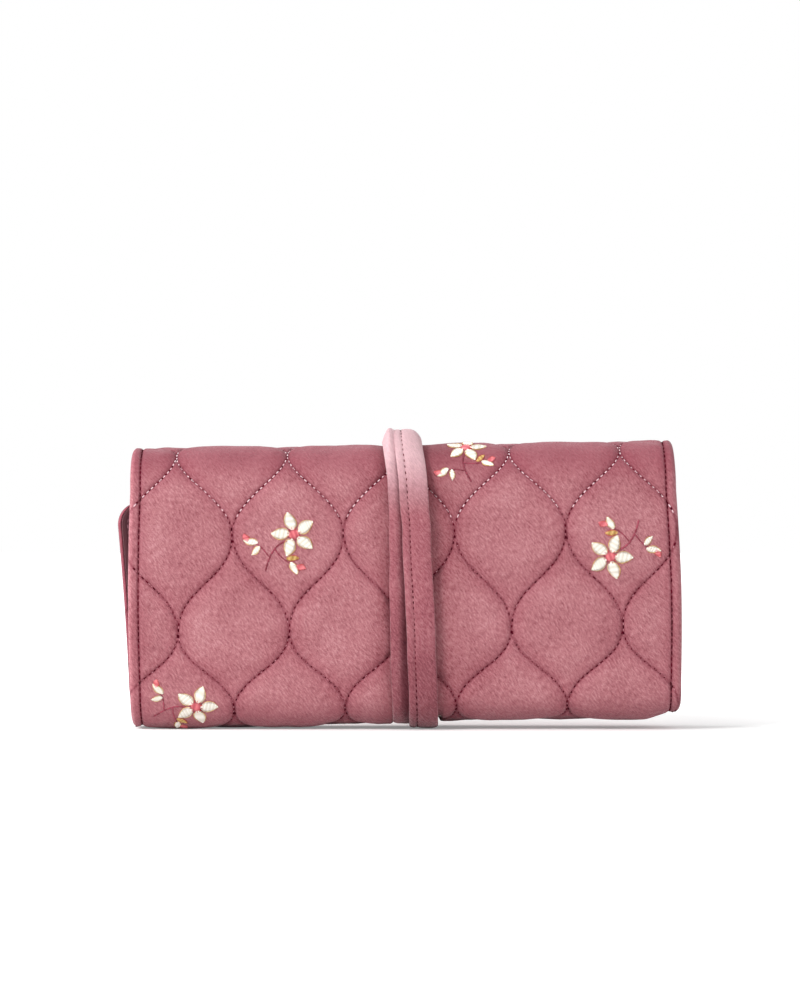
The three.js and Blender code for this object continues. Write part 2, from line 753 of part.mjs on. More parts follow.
function ringBarSnap() {
  const cap = turned([
    [0, 0],
    [snapCapRadius, 0],
    [snapCapRadius, snapCapHeight * capRimShare],
    [snapCapRadius * capShoulderShare, snapCapHeight * capShoulderShare],
    [snapCapRadius * capCrownShare, snapCapHeight],
    [0, snapCapHeight],
  ], roundSides).translate(snapX, 0, ringTabBase + ringTabThickness + seatGap);
  const bore = snapStudRadius + seatGap;
  const socket = turned([
    [bore, 0],
    [snapSocketRadius, 0],
    [snapSocketRadius, snapSocketHeight],
    [bore, snapSocketHeight],
    [bore, 0],
  ], roundSides).translate(snapX, 0, ringTabBase - seatGap - snapSocketHeight);
  const stud = turned([
    [0, 0],
    [snapCapRadius, 0],
    [snapCapRadius, snapBaseHeight],
    [snapStudRadius, snapBaseHeight],
    [snapStudRadius, snapBaseHeight + snapStudReach],
    [0, snapBaseHeight + snapStudReach],
  ], roundSides).translate(snapX, 0, innerDepth + seatGap);
  return [
    named('ring_bar_snap_cap', cap, brass),
    named('ring_bar_snap_socket', socket, brass),
    named('ring_bar_snap_stud', stud, brass),
  ];
}

function ringBarAnchor() {
  const x = ringBarLeft - ringTabLength - seatGap - anchorLength / 2;
  const z = innerDepth + seatGap + anchorThickness / 2;
  return named('ring_bar_anchor', box(anchorLength, ringTabWidth, anchorThickness, x, 0, z), pocketVelvet);
}

const roll = new THREE.Group();
for (const [place, stretch] of Object.entries(stretches)) {
  roll.add(
    named(`${place}_cover`, quiltedCover(stretch), velvet),
    named(`${place}_interlining`, interlining(stretch), foam),
    named(`${place}_lining`, liningSheet(stretch), lining),
  );
}
roll.add(
  named('strap', strapBand(), strapVelvet),
  named('strap_stud', strapStud(), brass),
  zippedPocket('front', frontZipHeight, 1),
  zippedPocket('back', backZipHeight, -1),
  ringBar(),
  ...ringBarSnap(),
  ringBarAnchor(),
);

// The origin is the middle of the roll's footprint, on the surface that it stands on
const extent = new THREE.Box3().setFromObject(roll);
const middle = extent.getCenter(new THREE.Vector3());
roll.position.set(-middle.x, -middle.y, -extent.min.z);

export default roll;
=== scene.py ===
"""Quilted velvet jewelry roll: its looks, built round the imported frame.

Lengths in the shape code are millimetres in the roll's own frame, as in the CAD source: x across, y in
depth, z up, and "along", the length on the sheet from the back panel's free edge, down, under, up the front
and over the top to the flap's free edge. placed() turns them into the row frame's metres.
"""
import math
from collections import namedtuple

import bmesh
import bpy
import numpy as np
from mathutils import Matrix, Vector


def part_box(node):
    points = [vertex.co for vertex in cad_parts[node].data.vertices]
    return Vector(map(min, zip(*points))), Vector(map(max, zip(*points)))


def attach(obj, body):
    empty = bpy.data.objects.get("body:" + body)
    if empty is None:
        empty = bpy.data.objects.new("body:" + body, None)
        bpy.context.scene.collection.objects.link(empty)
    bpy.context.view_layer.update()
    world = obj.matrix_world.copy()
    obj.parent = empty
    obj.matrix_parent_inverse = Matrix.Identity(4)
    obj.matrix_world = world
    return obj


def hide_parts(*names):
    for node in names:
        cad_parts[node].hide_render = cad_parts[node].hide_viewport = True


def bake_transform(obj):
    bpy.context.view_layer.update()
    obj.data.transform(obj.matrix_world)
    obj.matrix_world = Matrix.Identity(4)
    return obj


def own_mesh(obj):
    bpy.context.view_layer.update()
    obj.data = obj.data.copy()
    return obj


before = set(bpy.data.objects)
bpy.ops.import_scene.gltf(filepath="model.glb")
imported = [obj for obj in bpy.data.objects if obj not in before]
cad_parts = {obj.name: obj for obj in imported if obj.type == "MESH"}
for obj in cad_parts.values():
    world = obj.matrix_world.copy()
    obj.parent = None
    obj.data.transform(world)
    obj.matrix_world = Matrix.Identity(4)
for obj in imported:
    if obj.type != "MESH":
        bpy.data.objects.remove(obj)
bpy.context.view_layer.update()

# Sizes of the roll, as in the CAD source
STUD_X, SHIFT_Y = 5.3, -1.05
BODY_WIDTH, TOP_WIDTH = 230.0, 224.0
BODY_HEIGHT, BODY_DEPTH = 120.0, 46.0
TOP_RADIUS, BOTTOM_RADIUS = 20.0, 16.0
FREE_CORNER, FOLD_INSET, FLAP_GAP = 10.4, 0.4, 0.8
COVER, FOAM, LINING, GAP = 4.8, 1.2, 0.8, 0.2
LINING_DEPTH = COVER + FOAM + 2 * GAP
INNER_DEPTH = LINING_DEPTH + LINING
STRAP_WIDTH, STRAP_THICK, STRAP_GAP = 12.0, 1.6, 0.3
STRAP_LAYER = STRAP_THICK + STRAP_GAP
BACK_HEIGHT = round(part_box("back_cover")[1].z * 1000, 1)
stud_low, stud_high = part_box("strap_stud")
SHIFT = np.array([(stud_low.x + stud_high.x) * 500 - STUD_X, SHIFT_Y, 0.0])
HALF_PI = math.pi / 2

# Quilting: the pitch of its lines, the heights where they touch, and how they run between
PITCH, OFFSET, TOUCH_HEIGHT, TOUCH_WIDTH = 23.2, -2.0, 41.9, 0.45
WIDE_RISE, NARROW_RISE, ROW_TILT, PEAK = 40.8, 33.6, 0.015, 0.2
TOP_ROW_UP, TOP_ROW_FROM, TOP_ROW_REACH = 3.8, 87.0, 28.0
SWING = (PITCH - TOUCH_WIDTH) / 2
EDGE_GROOVE, STITCH_PITCH = 4.4, 2.55

# The sheet's outline beyond the CAD's: sides that belly out, and a back panel that leans to the left
SIDE_EASE, SIDE_BELLY, TOP_FLARE, BACK_LEAN = 0.15, 1.1, 1.9, 10.5
FRONT_LEAN = ([0, 60, 120], [1.0, 0.5, -0.5])
NOSE_WIDTH, NOSE_DEPTH = 2.4, 3.6


def placed(points):
    """Millimetres in the roll's frame to metres in the row frame."""
    return (np.asarray(points, float) + SHIFT) / 1000.0


def unit(value):
    return np.clip(value, 0.0, 1.0)


def smooth(value):
    value = unit(value)
    return value * value * (3 - 2 * value)


def bell(value, width, power=2):
    """1 at 0, and falling away past the width."""
    return np.exp(-((np.abs(value) / width) ** power))


def rounding(distance, radius):
    """How far a rounded edge has dropped: 1 at the edge, 0 from the radius inward."""
    return 1 - np.sqrt(np.maximum(0, 1 - unit(1 - distance / radius) ** 2))


def lattice(u, v, seed):
    """Smooth noise from -1 to 1 with one random value a unit square."""
    table = np.random.default_rng(seed).uniform(-1, 1, (256, 256))
    u0, v0 = np.floor(u).astype(int), np.floor(v).astype(int)
    fu, fv = smooth(u - u0), smooth(v - v0)

    def corner(i, j):
        return table[(u0 + i) % 256, (v0 + j) % 256]

    low = corner(0, 0) * (1 - fu) + corner(1, 0) * fu
    high = corner(0, 1) * (1 - fu) + corner(1, 1) * fu
    return low * (1 - fv) + high * fv


# The sheet's line in the Y-Z plane
def sheet_runs():
    """Straights and turns round the sheet: start, length, radius, and y, z and heading at the start."""
    runs, y, z, heading, along = [], BODY_DEPTH / 2, BACK_HEIGHT, -HALF_PI, 0.0
    plan = [
        (BACK_HEIGHT - BOTTOM_RADIUS, 0), (HALF_PI * BOTTOM_RADIUS, BOTTOM_RADIUS),
        (BODY_DEPTH - 2 * BOTTOM_RADIUS, 0), (HALF_PI * BOTTOM_RADIUS, BOTTOM_RADIUS),
        (BODY_HEIGHT - BOTTOM_RADIUS - TOP_RADIUS, 0), (HALF_PI * TOP_RADIUS, TOP_RADIUS),
        (BODY_DEPTH - 2 * TOP_RADIUS, 0), (HALF_PI * TOP_RADIUS, TOP_RADIUS),
        (BODY_HEIGHT - TOP_RADIUS - BACK_HEIGHT, 0),
    ]
    for length, radius in plan:
        runs.append((along, length, radius, y, z, heading))
        if radius:
            centre_y, centre_z = y + math.sin(heading) * radius, z - math.cos(heading) * radius
            heading -= length / radius
            y, z = centre_y - math.sin(heading) * radius, centre_z + math.cos(heading) * radius
        else:
            y, z = y + math.cos(heading) * length, z + math.sin(heading) * length
        along += length
    return runs, along


RUNS, LOOP = sheet_runs()
STARTS = np.array([run[0] for run in RUNS])
BOTTOM_MIDDLE = RUNS[2][0] + RUNS[2][1] / 2
FRONT_START, FRONT_END = RUNS[4][0], RUNS[5][0]
FRONT_MIDDLE = FRONT_START + BODY_HEIGHT / 2 - BOTTOM_RADIUS
TOP_MIDDLE = RUNS[6][0] + RUNS[6][1] / 2
SHEET_END = LOOP - FLAP_GAP


def skin(along):
    """y, z and the outward ny, nz of the sheet's line."""
    wrapped = np.mod(along, LOOP)
    which = np.clip(np.searchsorted(STARTS, wrapped, side="right") - 1, 0, len(RUNS) - 1)
    start, _, radius, y0, z0, heading0 = (np.array([run[i] for run in RUNS])[which] for i in range(6))
    distance = wrapped - start
    heading = heading0 - np.where(radius > 0, distance / np.maximum(radius, 1e-9), 0.0)
    ny, nz = -np.sin(heading), np.cos(heading)
    y = np.where(radius > 0, y0 + np.sin(heading0) * radius + ny * radius, y0 + np.cos(heading0) * distance)
    z = np.where(radius > 0, z0 - np.cos(heading0) * radius + nz * radius, z0 + np.sin(heading0) * distance)
    return y, z, ny, nz


def front_share(along):
    """0 on the back panel, 1 from the front panel on."""
    return smooth((np.mod(along, LOOP) - RUNS[1][0]) / (FRONT_START - RUNS[1][0]))


def side(along):
    """Half the sheet's width and how far the back panel leans to the left."""
    _, z, _, nz = skin(along)
    rise = unit((z - BOTTOM_RADIUS) / (BODY_HEIGHT - BOTTOM_RADIUS - TOP_RADIUS))
    half = (BODY_WIDTH + (TOP_WIDTH - BODY_WIDTH) * rise) / 2 - FOLD_INSET * nz * nz
    belly = SIDE_EASE + SIDE_BELLY * np.sin(math.pi * rise) + TOP_FLARE * rise**1.1
    end_distance = np.clip(np.minimum(along, SHEET_END - along), 0, None)
    reach = np.clip(FREE_CORNER - end_distance, 0, FREE_CORNER)
    corner = FREE_CORNER - np.sqrt(FREE_CORNER**2 - reach**2)
    lean = -BACK_LEAN * np.clip(1 - along / RUNS[3][0], 0, None) ** 1.5 * (along <= LOOP)
    return half + belly * front_share(along) - corner, lean


def on_sheet(x, along, out):
    """Points at x and along, out millimetres outside the sheet's line."""
    y, z, ny, nz = skin(along)
    lean = np.interp(z, *FRONT_LEAN) * front_share(along)
    return np.stack(np.broadcast_arrays(x + side(along)[1] + lean, y + ny * out, z + nz * out), -1)


# Quilting lines: number, middle x, and the side to which each swings first
QUILT_LINES = [(k, OFFSET + (k + 0.5) * PITCH, -1 if k % 2 == 0 else 1) for k in range(-6, 6)]


def line_x(line, along):
    """x of a quilting line: out over the wide part of a cell and back over its narrow part."""
    _, middle, sign = line
    height = along - FRONT_START + BOTTOM_RADIUS
    height = height - TOP_ROW_UP * smooth((height - TOP_ROW_FROM) / TOP_ROW_REACH)
    risen = np.mod(height - TOUCH_HEIGHT - ROW_TILT * middle, WIDE_RISE + NARROW_RISE)
    phase = np.where(risen < WIDE_RISE, risen / WIDE_RISE, 1 + (risen - WIDE_RISE) / NARROW_RISE)
    wave = np.cos(math.pi * phase)
    return middle + sign * SWING * wave * (1 + PEAK - PEAK * wave * wave)


def line_distance(x, along):
    """Distance to the nearest quilting line."""
    nearest = np.full(np.broadcast(x, along).shape, 1e3)
    for line in QUILT_LINES:
        slope = line_x(line, along + 0.5) - line_x(line, along - 0.5)
        nearest = np.minimum(nearest, np.abs(x - line_x(line, along)) / np.sqrt(1 + slope**2))
    return nearest


def edge_distance(x, along):
    """Distance to the sheet's nearest edge."""
    return np.maximum(0, np.minimum(side(along)[0] - np.abs(x), np.minimum(along, SHEET_END - along)))


# Mesh makers
def new_object(name, points, faces, smooth_shade=True):
    mesh = bpy.data.meshes.new(name)
    mesh.from_pydata(np.asarray(points, float).tolist(), [], faces)
    mesh.validate()
    if smooth_shade:
        mesh.polygons.foreach_set("use_smooth", np.ones(len(mesh.polygons), bool))
    thing = bpy.data.objects.new(name, mesh)
    bpy.context.scene.collection.objects.link(thing)
    return thing


def give(thing, name, values):
    """A number or a vector for each point, which the materials read by name."""
    values = np.asarray(values, np.float32)
    kind, key = ("FLOAT_VECTOR", "vector") if values.ndim == 2 else ("FLOAT", "value")
    thing.data.attributes.new(name, kind, "POINT").data.foreach_set(key, values.ravel())


def flat_place(u, v, layer=0.0):
    """Places on the flat cloth, one row a point, for the attribute sheet_place."""
    return np.stack(np.broadcast_arrays(u, v, layer), -1).reshape(-1, 3)


def cells(index):
    """The quads of a grid of corner numbers."""
    return np.stack([index[:-1, :-1], index[:-1, 1:], index[1:, 1:], index[1:, :-1]], -1).reshape(-1, 4)


def strip(first, second):
    """The quads between two rows of corner numbers."""
    return np.stack([first[:-1], first[1:], second[1:], second[:-1]], -1)


def tube_faces(rows, cols):
    """Faces of a tube of closed rings, with a cap at each end."""
    index = np.arange(rows * cols).reshape(rows, cols)
    after = np.roll(index, -1, 1)
    faces = np.stack([index[:-1], after[:-1], after[1:], index[1:]], -1).reshape(-1, 4).tolist()
    return faces + [index[0, ::-1].tolist(), index[-1].tolist()]


def renumbered(faces):
    """The corners that the faces use, and the faces with those corners numbered from 0."""
    used = sorted({corner for face in faces for corner in face})
    number = {old: new for new, old in enumerate(used)}
    return used, [[number[corner] for corner in face] for face in faces]


def face_outward(thing):
    mesh = bmesh.new()
    mesh.from_mesh(thing.data)
    bmesh.ops.recalc_face_normals(mesh, faces=mesh.faces)
    mesh.to_mesh(thing.data)
    mesh.free()


def unit_vectors(vectors):
    return vectors / np.maximum(np.linalg.norm(vectors, axis=-1, keepdims=True), 1e-12)


def grid_normals(points):
    return unit_vectors(np.cross(np.gradient(points, axis=1), np.gradient(points, axis=0)))


def square_to(tangent, normal):
    """The normal, turned so that it stands square to the tangent."""
    return unit_vectors(normal - tangent * np.sum(normal * tangent, -1, keepdims=True))


# The puffs between the seams, blown up by a cloth simulation of the sheet laid flat
SIM_UNIT, SIM_STEP, SIM_FRAMES, SIM_HALF = 0.01, 2.4, 20, 116.0
PUFF_STEP, PUFF_REACH = 0.5, 6.0
CLOTH_SETTINGS = {
    "quality": 5, "tension_stiffness": 12, "compression_stiffness": 12, "shear_stiffness": 4,
    "bending_stiffness": 0.3, "vertex_group_mass": "sewn", "use_pressure": True,
    "uniform_pressure_force": 4, "shrink_min": -0.05,
}


def flat_plan():
    """A grid on the flat sheet. In each row the point nearest to a seam is moved on to it and sewn down."""
    rows = np.linspace(0, SHEET_END, int(round(SHEET_END / SIM_STEP)) + 1)
    columns = np.linspace(-SIM_HALF, SIM_HALF, int(round(2 * SIM_HALF / SIM_STEP)) + 1)
    x, along = np.meshgrid(columns, rows)
    sewn = edge_distance(x, along) < EDGE_GROOVE + 0.6
    for line in QUILT_LINES:
        here = line_x(line, rows)
        inside = np.flatnonzero(np.abs(here) < SIM_HALF - SIM_STEP)
        nearest = np.rint((here[inside] + SIM_HALF) / (columns[1] - columns[0])).astype(int)
        x[inside, nearest] = here[inside]
        sewn[inside, nearest] = True
    return x, along, sewn


def blown_up(x, along, sewn):
    """Heights of the sheet's points once air pressure has lifted it between its seams."""
    index = np.arange(x.size).reshape(x.shape)
    sheet = new_object("flat_sheet", flat_place(x, along) * SIM_UNIT, cells(index).tolist())
    sheet.vertex_groups.new(name="sewn").add(index[sewn].tolist(), 1.0, "REPLACE")
    cloth = sheet.modifiers.new("puff", "CLOTH")
    for key, value in CLOTH_SETTINGS.items():
        setattr(cloth.settings, key, value)
    cloth.settings.effector_weights.gravity = 0
    cloth.collision_settings.use_collision = False
    cloth.point_cache.frame_start, cloth.point_cache.frame_end = 1, SIM_FRAMES
    for frame_number in range(1, SIM_FRAMES + 1):
        bpy.context.scene.frame_set(frame_number)
    mesh = sheet.evaluated_get(bpy.context.evaluated_depsgraph_get()).data
    places = np.empty(len(mesh.vertices) * 3)
    mesh.vertices.foreach_get("co", places)
    bpy.data.objects.remove(sheet)
    bpy.context.scene.frame_set(1)
    return places.reshape(*x.shape, 3)[..., 2] / SIM_UNIT


def blurred(field, times):
    for _ in range(times):
        for axis in (0, 1):
            field = (np.roll(field, 1, axis) + 2 * field + np.roll(field, -1, axis)) / 4
    return field


def puff_field():
    """How far the sheet is puffed up, 0 at a seam and about 1 in a cell, on an even grid."""
    fine_x = np.arange(-SIM_HALF, SIM_HALF + PUFF_STEP, PUFF_STEP)
    fine_along = np.arange(0, SHEET_END + PUFF_STEP, PUFF_STEP)
    x, along, sewn = flat_plan()
    height = blown_up(x, along, sewn)
    height = np.stack([np.interp(fine_x, *row) for row in zip(x, height)])
    height = np.stack([np.interp(fine_along, along[:, 0], column) for column in height.T], 1)
    height = blurred(height, 4) / np.percentile(height, 90)
    return 1 - (1 - unit(height)) ** 2 + np.clip(height - 1, 0, 0.5) * 0.4


PUFFS = puff_field()


def puff(x, along):
    """The puffed share at any place of the sheet."""
    u = np.clip((x + SIM_HALF) / PUFF_STEP, 0, PUFFS.shape[1] - 1.001)
    v = np.clip(along / PUFF_STEP, 0, PUFFS.shape[0] - 1.001)
    column, row = u.astype(int), v.astype(int)
    u, v = u - column, v - row
    low = PUFFS[row, column] * (1 - u) + PUFFS[row, column + 1] * u
    high = PUFFS[row + 1, column] * (1 - u) + PUFFS[row + 1, column + 1] * u
    return low * (1 - v) + high * v


# The velvet's surface. A depth counts inward from the sheet's line
STRAP_HOLLOW, HOLLOW_FROM, HOLLOW_TO, HOLLOW_WALL = 4.6, -5.6, 15.8, 1.3
STRAP_MIDDLE = ([0, 120], [5.5, 0.5])


def bottom_lift(x, nz):
    """How far the soft underside keeps clear of the floor, more where the strap lies under it."""
    strap = smooth((x - HOLLOW_FROM) / HOLLOW_WALL) * smooth((HOLLOW_TO - x) / HOLLOW_WALL)
    tilt = np.clip(0.1 + (x + 60) * 0.032, 0.1, 3.7)
    return unit(-nz) ** 2 * (tilt * (1 - strap) + STRAP_HOLLOW * strap)


def relief(x, along):
    """Depth of the velvet: creases at the seams, puffs between them, puckers, the hem and the nose."""
    x, along = np.broadcast_arrays(np.asarray(x, float), np.asarray(along, float))
    _, z, _, nz = skin(along)
    distance, edge = line_distance(x, along), edge_distance(x, along)
    hem = edge - EDGE_GROOVE
    inside_hem = smooth((hem + 1.2) / 1.6)
    depth = (0.85 * bell(distance, 0.6, 1.4) + 0.3 * bell(distance, 2.2, 1.3)) * (0.1 + 0.9 * inside_hem)
    depth += 1.25 * (1 - puff(x, along)) * (0.55 + 0.45 * smooth((hem - 1) / 6))
    depth += 0.75 * bell(hem, 0.55) + 0.25 * bell(hem, 1.8)
    depth += 0.13 * bell(distance, 3.2, 1) * lattice(x / 5.5 + along / 9, along / 1.7, 3)
    depth += 0.12 * bell(hem, 1.6, 1) * lattice(edge / 4, along / 2.6, 4)
    swell = 0.30 * lattice(x / 13 + 40, along / 11, 5) + 0.14 * lattice(x / 5.0, along / 4.3 + 9, 6)
    depth += swell * (0.25 + 0.75 * inside_hem)
    from_strap = x - np.interp(z, *STRAP_MIDDLE)
    # The cloth is dented beside the strap in the shape; the shadow there is painted in the material.
    pressed = 0.7 * bell(from_strap, 12.0, 4)
    pressed += 0.5 * bell(from_strap, 15.0) * lattice(x / 4.5 + along / 12, along / 7, 8)
    depth = np.maximum(depth + 0.25, 0.0) + pressed * 0.6 + NOSE_DEPTH * rounding(edge, NOSE_WIDTH)
    sunk_top = 1.1 * smooth(0.5 - x / 220) * unit(nz) ** 2
    return depth + bottom_lift(x, nz) + sunk_top - 0.3 * unit(-nz)


def corner_raise(x, along):
    """Depth of the whole sheet: less over the top toward the right, more at the lower right corner."""
    nz = skin(along)[3]
    top = 0.8 * smooth((x - 16) / 22) + 1.4 * smooth((x - 70) / 35) + 0.55 * bell(x - 6, 26.0, 4)
    return 2.8 * smooth((x - 100) / 13) * unit(-nz) - top * unit(nz)


# How far from an edge the columns and rows of points near it lie
EDGE_COLUMNS = np.array([
    0, 0.06, 0.22, 0.5, 0.85, 1.2, 1.5, 1.75, 2.1, 2.5, 2.9, 3.2, 3.5, 3.75, 3.95, 4.2, 4.5, 4.9, 5.4, 6.0,
    6.7, 7.5])
# Stretches of the sheet, each across one joint
Slab = namedtuple("Slab", "name start end body_a body_b stretches")
SLABS = [
    Slab("back", 0.0, BOTTOM_MIDDLE, "back_panel", "root", ["back"]),
    Slab("under", BOTTOM_MIDDLE, FRONT_MIDDLE, "root", "front_panel", ["bottom_fold"]),
    Slab("front", FRONT_MIDDLE, TOP_MIDDLE, "front_panel", "top_fold", ["front", "top_fold"]),
    Slab("flap", TOP_MIDDLE, SHEET_END, "top_fold", "flap", ["flap"]),
]


def bend(thing):
    """Bakes a piece's placement into its mesh."""
    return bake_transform(thing)


def column_grid(along, inset, count):
    """x of every column in each row: close together at the two edges, even between."""
    half = (side(along)[0] - inset)[:, None]
    even = np.linspace(-1, 1, count)[None, 1:-1] * (half - EDGE_COLUMNS[-1])
    return np.concatenate([-half + EDGE_COLUMNS, even, (half - EDGE_COLUMNS)[:, ::-1]], axis=1)


def rows_between(start, end, step):
    """Rows at an even step, and close together at the sheet's free ends."""
    rows = np.linspace(start, end, max(2, int(round((end - start) / step)) + 1))
    if start <= 0.5:
        rows = np.concatenate([EDGE_COLUMNS + start, rows[rows > start + EDGE_COLUMNS[-1] + step / 2]])
    if end > SHEET_END - 2.5:
        rows = np.concatenate([rows[rows < end - EDGE_COLUMNS[-1] - step / 2], (end - EDGE_COLUMNS)[::-1]])
    return rows


def trimmed(slab, inset):
    """Start and end of a stretch whose layer ends inset from the sheet's free ends."""
    start = slab.start + (inset if slab.start == 0 else 0)
    return start, slab.end - (inset if slab.end == SHEET_END else 0)


def tint(thing, slab, u, v):
    """What the velvet's colour follows: painted shade in the creases of the seams and the hem, painted shade
    on faces turned up or down, and the strap's painted shadow on the cloth beside it.
    """
    edge = edge_distance(u, v)
    give(thing, "seam_distance", np.minimum(line_distance(u, v), np.abs(edge - EDGE_GROOVE)))
    # Painted shade on faces turned up or down, more on the top than underneath.
    facing = skin(v)[3]
    turned_away = np.where(facing > 0, 0.75 * smooth(facing * 1.25), 0.55 * smooth(-facing))
    # The back panel's edge, seen beside the front's edge, gets the same painted shade.
    if slab.name == "back":
        turned_away = np.maximum(turned_away, smooth((2.2 - edge) / 0.8))
    give(thing, "turned_away", turned_away)
    # Painted shadow of the proud strap on the cloth beside it, reaching further on its right.
    beside_strap = smooth((34 - u) / 22) * smooth((u + 17) / 11)
    give(thing, "pressed", beside_strap * (0.85 + 0.2 * lattice(u / 9, v / 12, 41)))


def layer_piece(name, slab, outer, inner, inset, step, columns):
    """One stretch of a layer: a closed slab between two depths, with normals that run on to the next."""
    margin = 0.4
    along = rows_between(*trimmed(slab, inset), step)
    along = np.concatenate([[along[0] - margin], along, [along[-1] + margin]])
    along = np.clip(along, inset, SHEET_END - inset)
    x = column_grid(along, inset, columns)
    along = np.repeat(along[:, None], x.shape[1], 1)
    lift = corner_raise(x, along)
    surfaces = [on_sheet(x, along, -depth(x, along) - lift) for depth in (outer, inner)]
    normals = np.stack([way * grid_normals(surface)[1:-1] for way, surface in zip((1, -1), surfaces)])
    points = np.stack(surfaces)[:, 1:-1]
    x, along = x[1:-1], along[1:-1]
    first = np.arange(x.size).reshape(x.shape)
    shared = np.zeros(x.shape, bool)
    shared[:, [0, -1]] = True
    shared[0] |= slab.start == 0
    shared[-1] |= slab.end == SHEET_END
    second = np.where(shared, first, first + x.size)
    quads = [cells(first), cells(second.T)]
    if slab.start != 0:
        quads.append(strip(second[0], first[0]))
    if slab.end != SHEET_END:
        quads.append(strip(first[-1], second[-1]))
    faces = [list(dict.fromkeys(face)) for face in np.concatenate(quads).tolist()]
    used, faces = renumbered([face for face in faces if len(face) > 2])
    thing = new_object(name, placed(points.reshape(-1, 3)[used]), faces)
    place = flat_place(x, along, np.array([0.0, 1.0])[:, None, None])[used]
    give(thing, "sheet_place", place)
    tint(thing, slab, place[:, 0], place[:, 1])
    thing.data.normals_split_custom_set_from_vertices(normals.reshape(-1, 3)[used].tolist())
    bend(thing)
    return thing


STRAND_SIDES, STRAND_RINGS = 6, 5


def capsules(name, centres, tangents, normals, lengths, widths, heights, place):
    """Many small rounded strands in one mesh, each with its place on the flat cloth."""
    count = len(centres)
    angle = np.linspace(0, 2 * math.pi, STRAND_SIDES, endpoint=False)[:, None]
    station = np.linspace(-1, 1, STRAND_RINGS)[:, None, None]
    swell = np.sqrt(np.maximum(0.0, 1 - np.abs(station) ** 3 * 0.94))
    long, wide, high = (
        np.broadcast_to(size, count)[:, None, None, None] / 2 for size in (lengths, widths, heights))
    centre, tangent, normal = (part[:, None, None, :] for part in (centres, tangents, normals))
    round_it = np.cos(angle) * wide * np.cross(normal, tangent) + np.sin(angle) * high * normal
    points = centre + station * long * tangent + swell * round_it
    each = STRAND_RINGS * STRAND_SIDES
    strand = tube_faces(STRAND_RINGS, STRAND_SIDES)
    faces = [[corner + base for corner in face] for base in range(0, count * each, each) for face in strand]
    thing = new_object(name, placed(points.reshape(-1, 3)), faces)
    give(thing, "sheet_place", np.repeat(place, each, 0))
    return thing


# Materials
WHITE = (1, 1, 1, 1)


def linear(colour):
    """A colour from 0 to 255 in the linear values that the shaders take."""
    shares = [channel / 255 for channel in colour]
    return tuple(c / 12.92 if c <= 0.04045 else ((c + 0.055) / 1.055) ** 2.4 for c in shares) + (1.0,)


def connect(tree, target, inputs):
    """Gives each input, by its name or number, a value or a link from another node."""
    for key, value in inputs.items():
        if isinstance(value, bpy.types.NodeSocket):
            tree.links.new(value, target.inputs[key])
        else:
            target.inputs[key].default_value = value


def node(tree, kind, inputs=None, **settings):
    made = tree.nodes.new("ShaderNode" + kind)
    for key, value in settings.items():
        setattr(made, key, value)
    connect(tree, made, inputs or {})
    return made


def material(name):
    made = bpy.data.materials.new(name)
    made.use_nodes = True
    tree = made.node_tree
    return made, tree, tree.nodes["Principled BSDF"]


def ramp(tree, source, stops):
    made = node(tree, "ValToRGB", {"Fac": source})
    elements = made.color_ramp.elements
    while len(elements) < len(stops):
        elements.new(0.5)
    for element, (position, colour) in zip(elements, stops):
        element.position = position
        element.color = colour if len(colour) == 4 else linear(colour)
    return made.outputs["Color"]


def mixed(tree, blend_type, factor, a, b):
    return node(tree, "Mix", {0: factor, 6: a, 7: b}, data_type="RGBA", blend_type=blend_type).outputs[2]


def maths(tree, operation, a, b, clamp=False):
    return node(tree, "Math", {0: a, 1: b}, operation=operation, use_clamp=clamp).outputs[0]


def weighted(tree, *parts):
    """The sum of some outputs, each times its weight."""
    total = None
    for output, weight in parts:
        part = output if weight == 1 else maths(tree, "MULTIPLY", output, weight)
        total = part if total is None else maths(tree, "ADD", total, part)
    return total


def noise(tree, vector, scale, detail=2.0, rough=0.5, stretch=(1, 1, 1), turn=0.0):
    turned = node(tree, "Mapping", {"Vector": vector, "Rotation": (0, 0, turn)})
    mapped = node(tree, "Mapping", {"Vector": turned.outputs["Vector"], "Scale": stretch})
    inputs = {"Vector": mapped.outputs["Vector"], "Scale": scale, "Detail": detail, "Roughness": rough}
    return node(tree, "TexNoise", inputs).outputs["Fac"]


def wave(tree, vector, scale, distortion=0.0, direction="DIAGONAL"):
    inputs = {"Vector": vector, "Scale": scale, "Distortion": distortion}
    return node(tree, "TexWave", inputs, wave_type="BANDS", bands_direction=direction).outputs["Fac"]


def attribute(tree, name, output="Fac"):
    return node(tree, "Attribute", attribute_name=name).outputs[output]


def bump(tree, shader, height, distance, strength):
    made = node(tree, "Bump", {"Height": height, "Distance": distance, "Strength": strength})
    tree.links.new(made.outputs["Normal"], shader.inputs["Normal"])


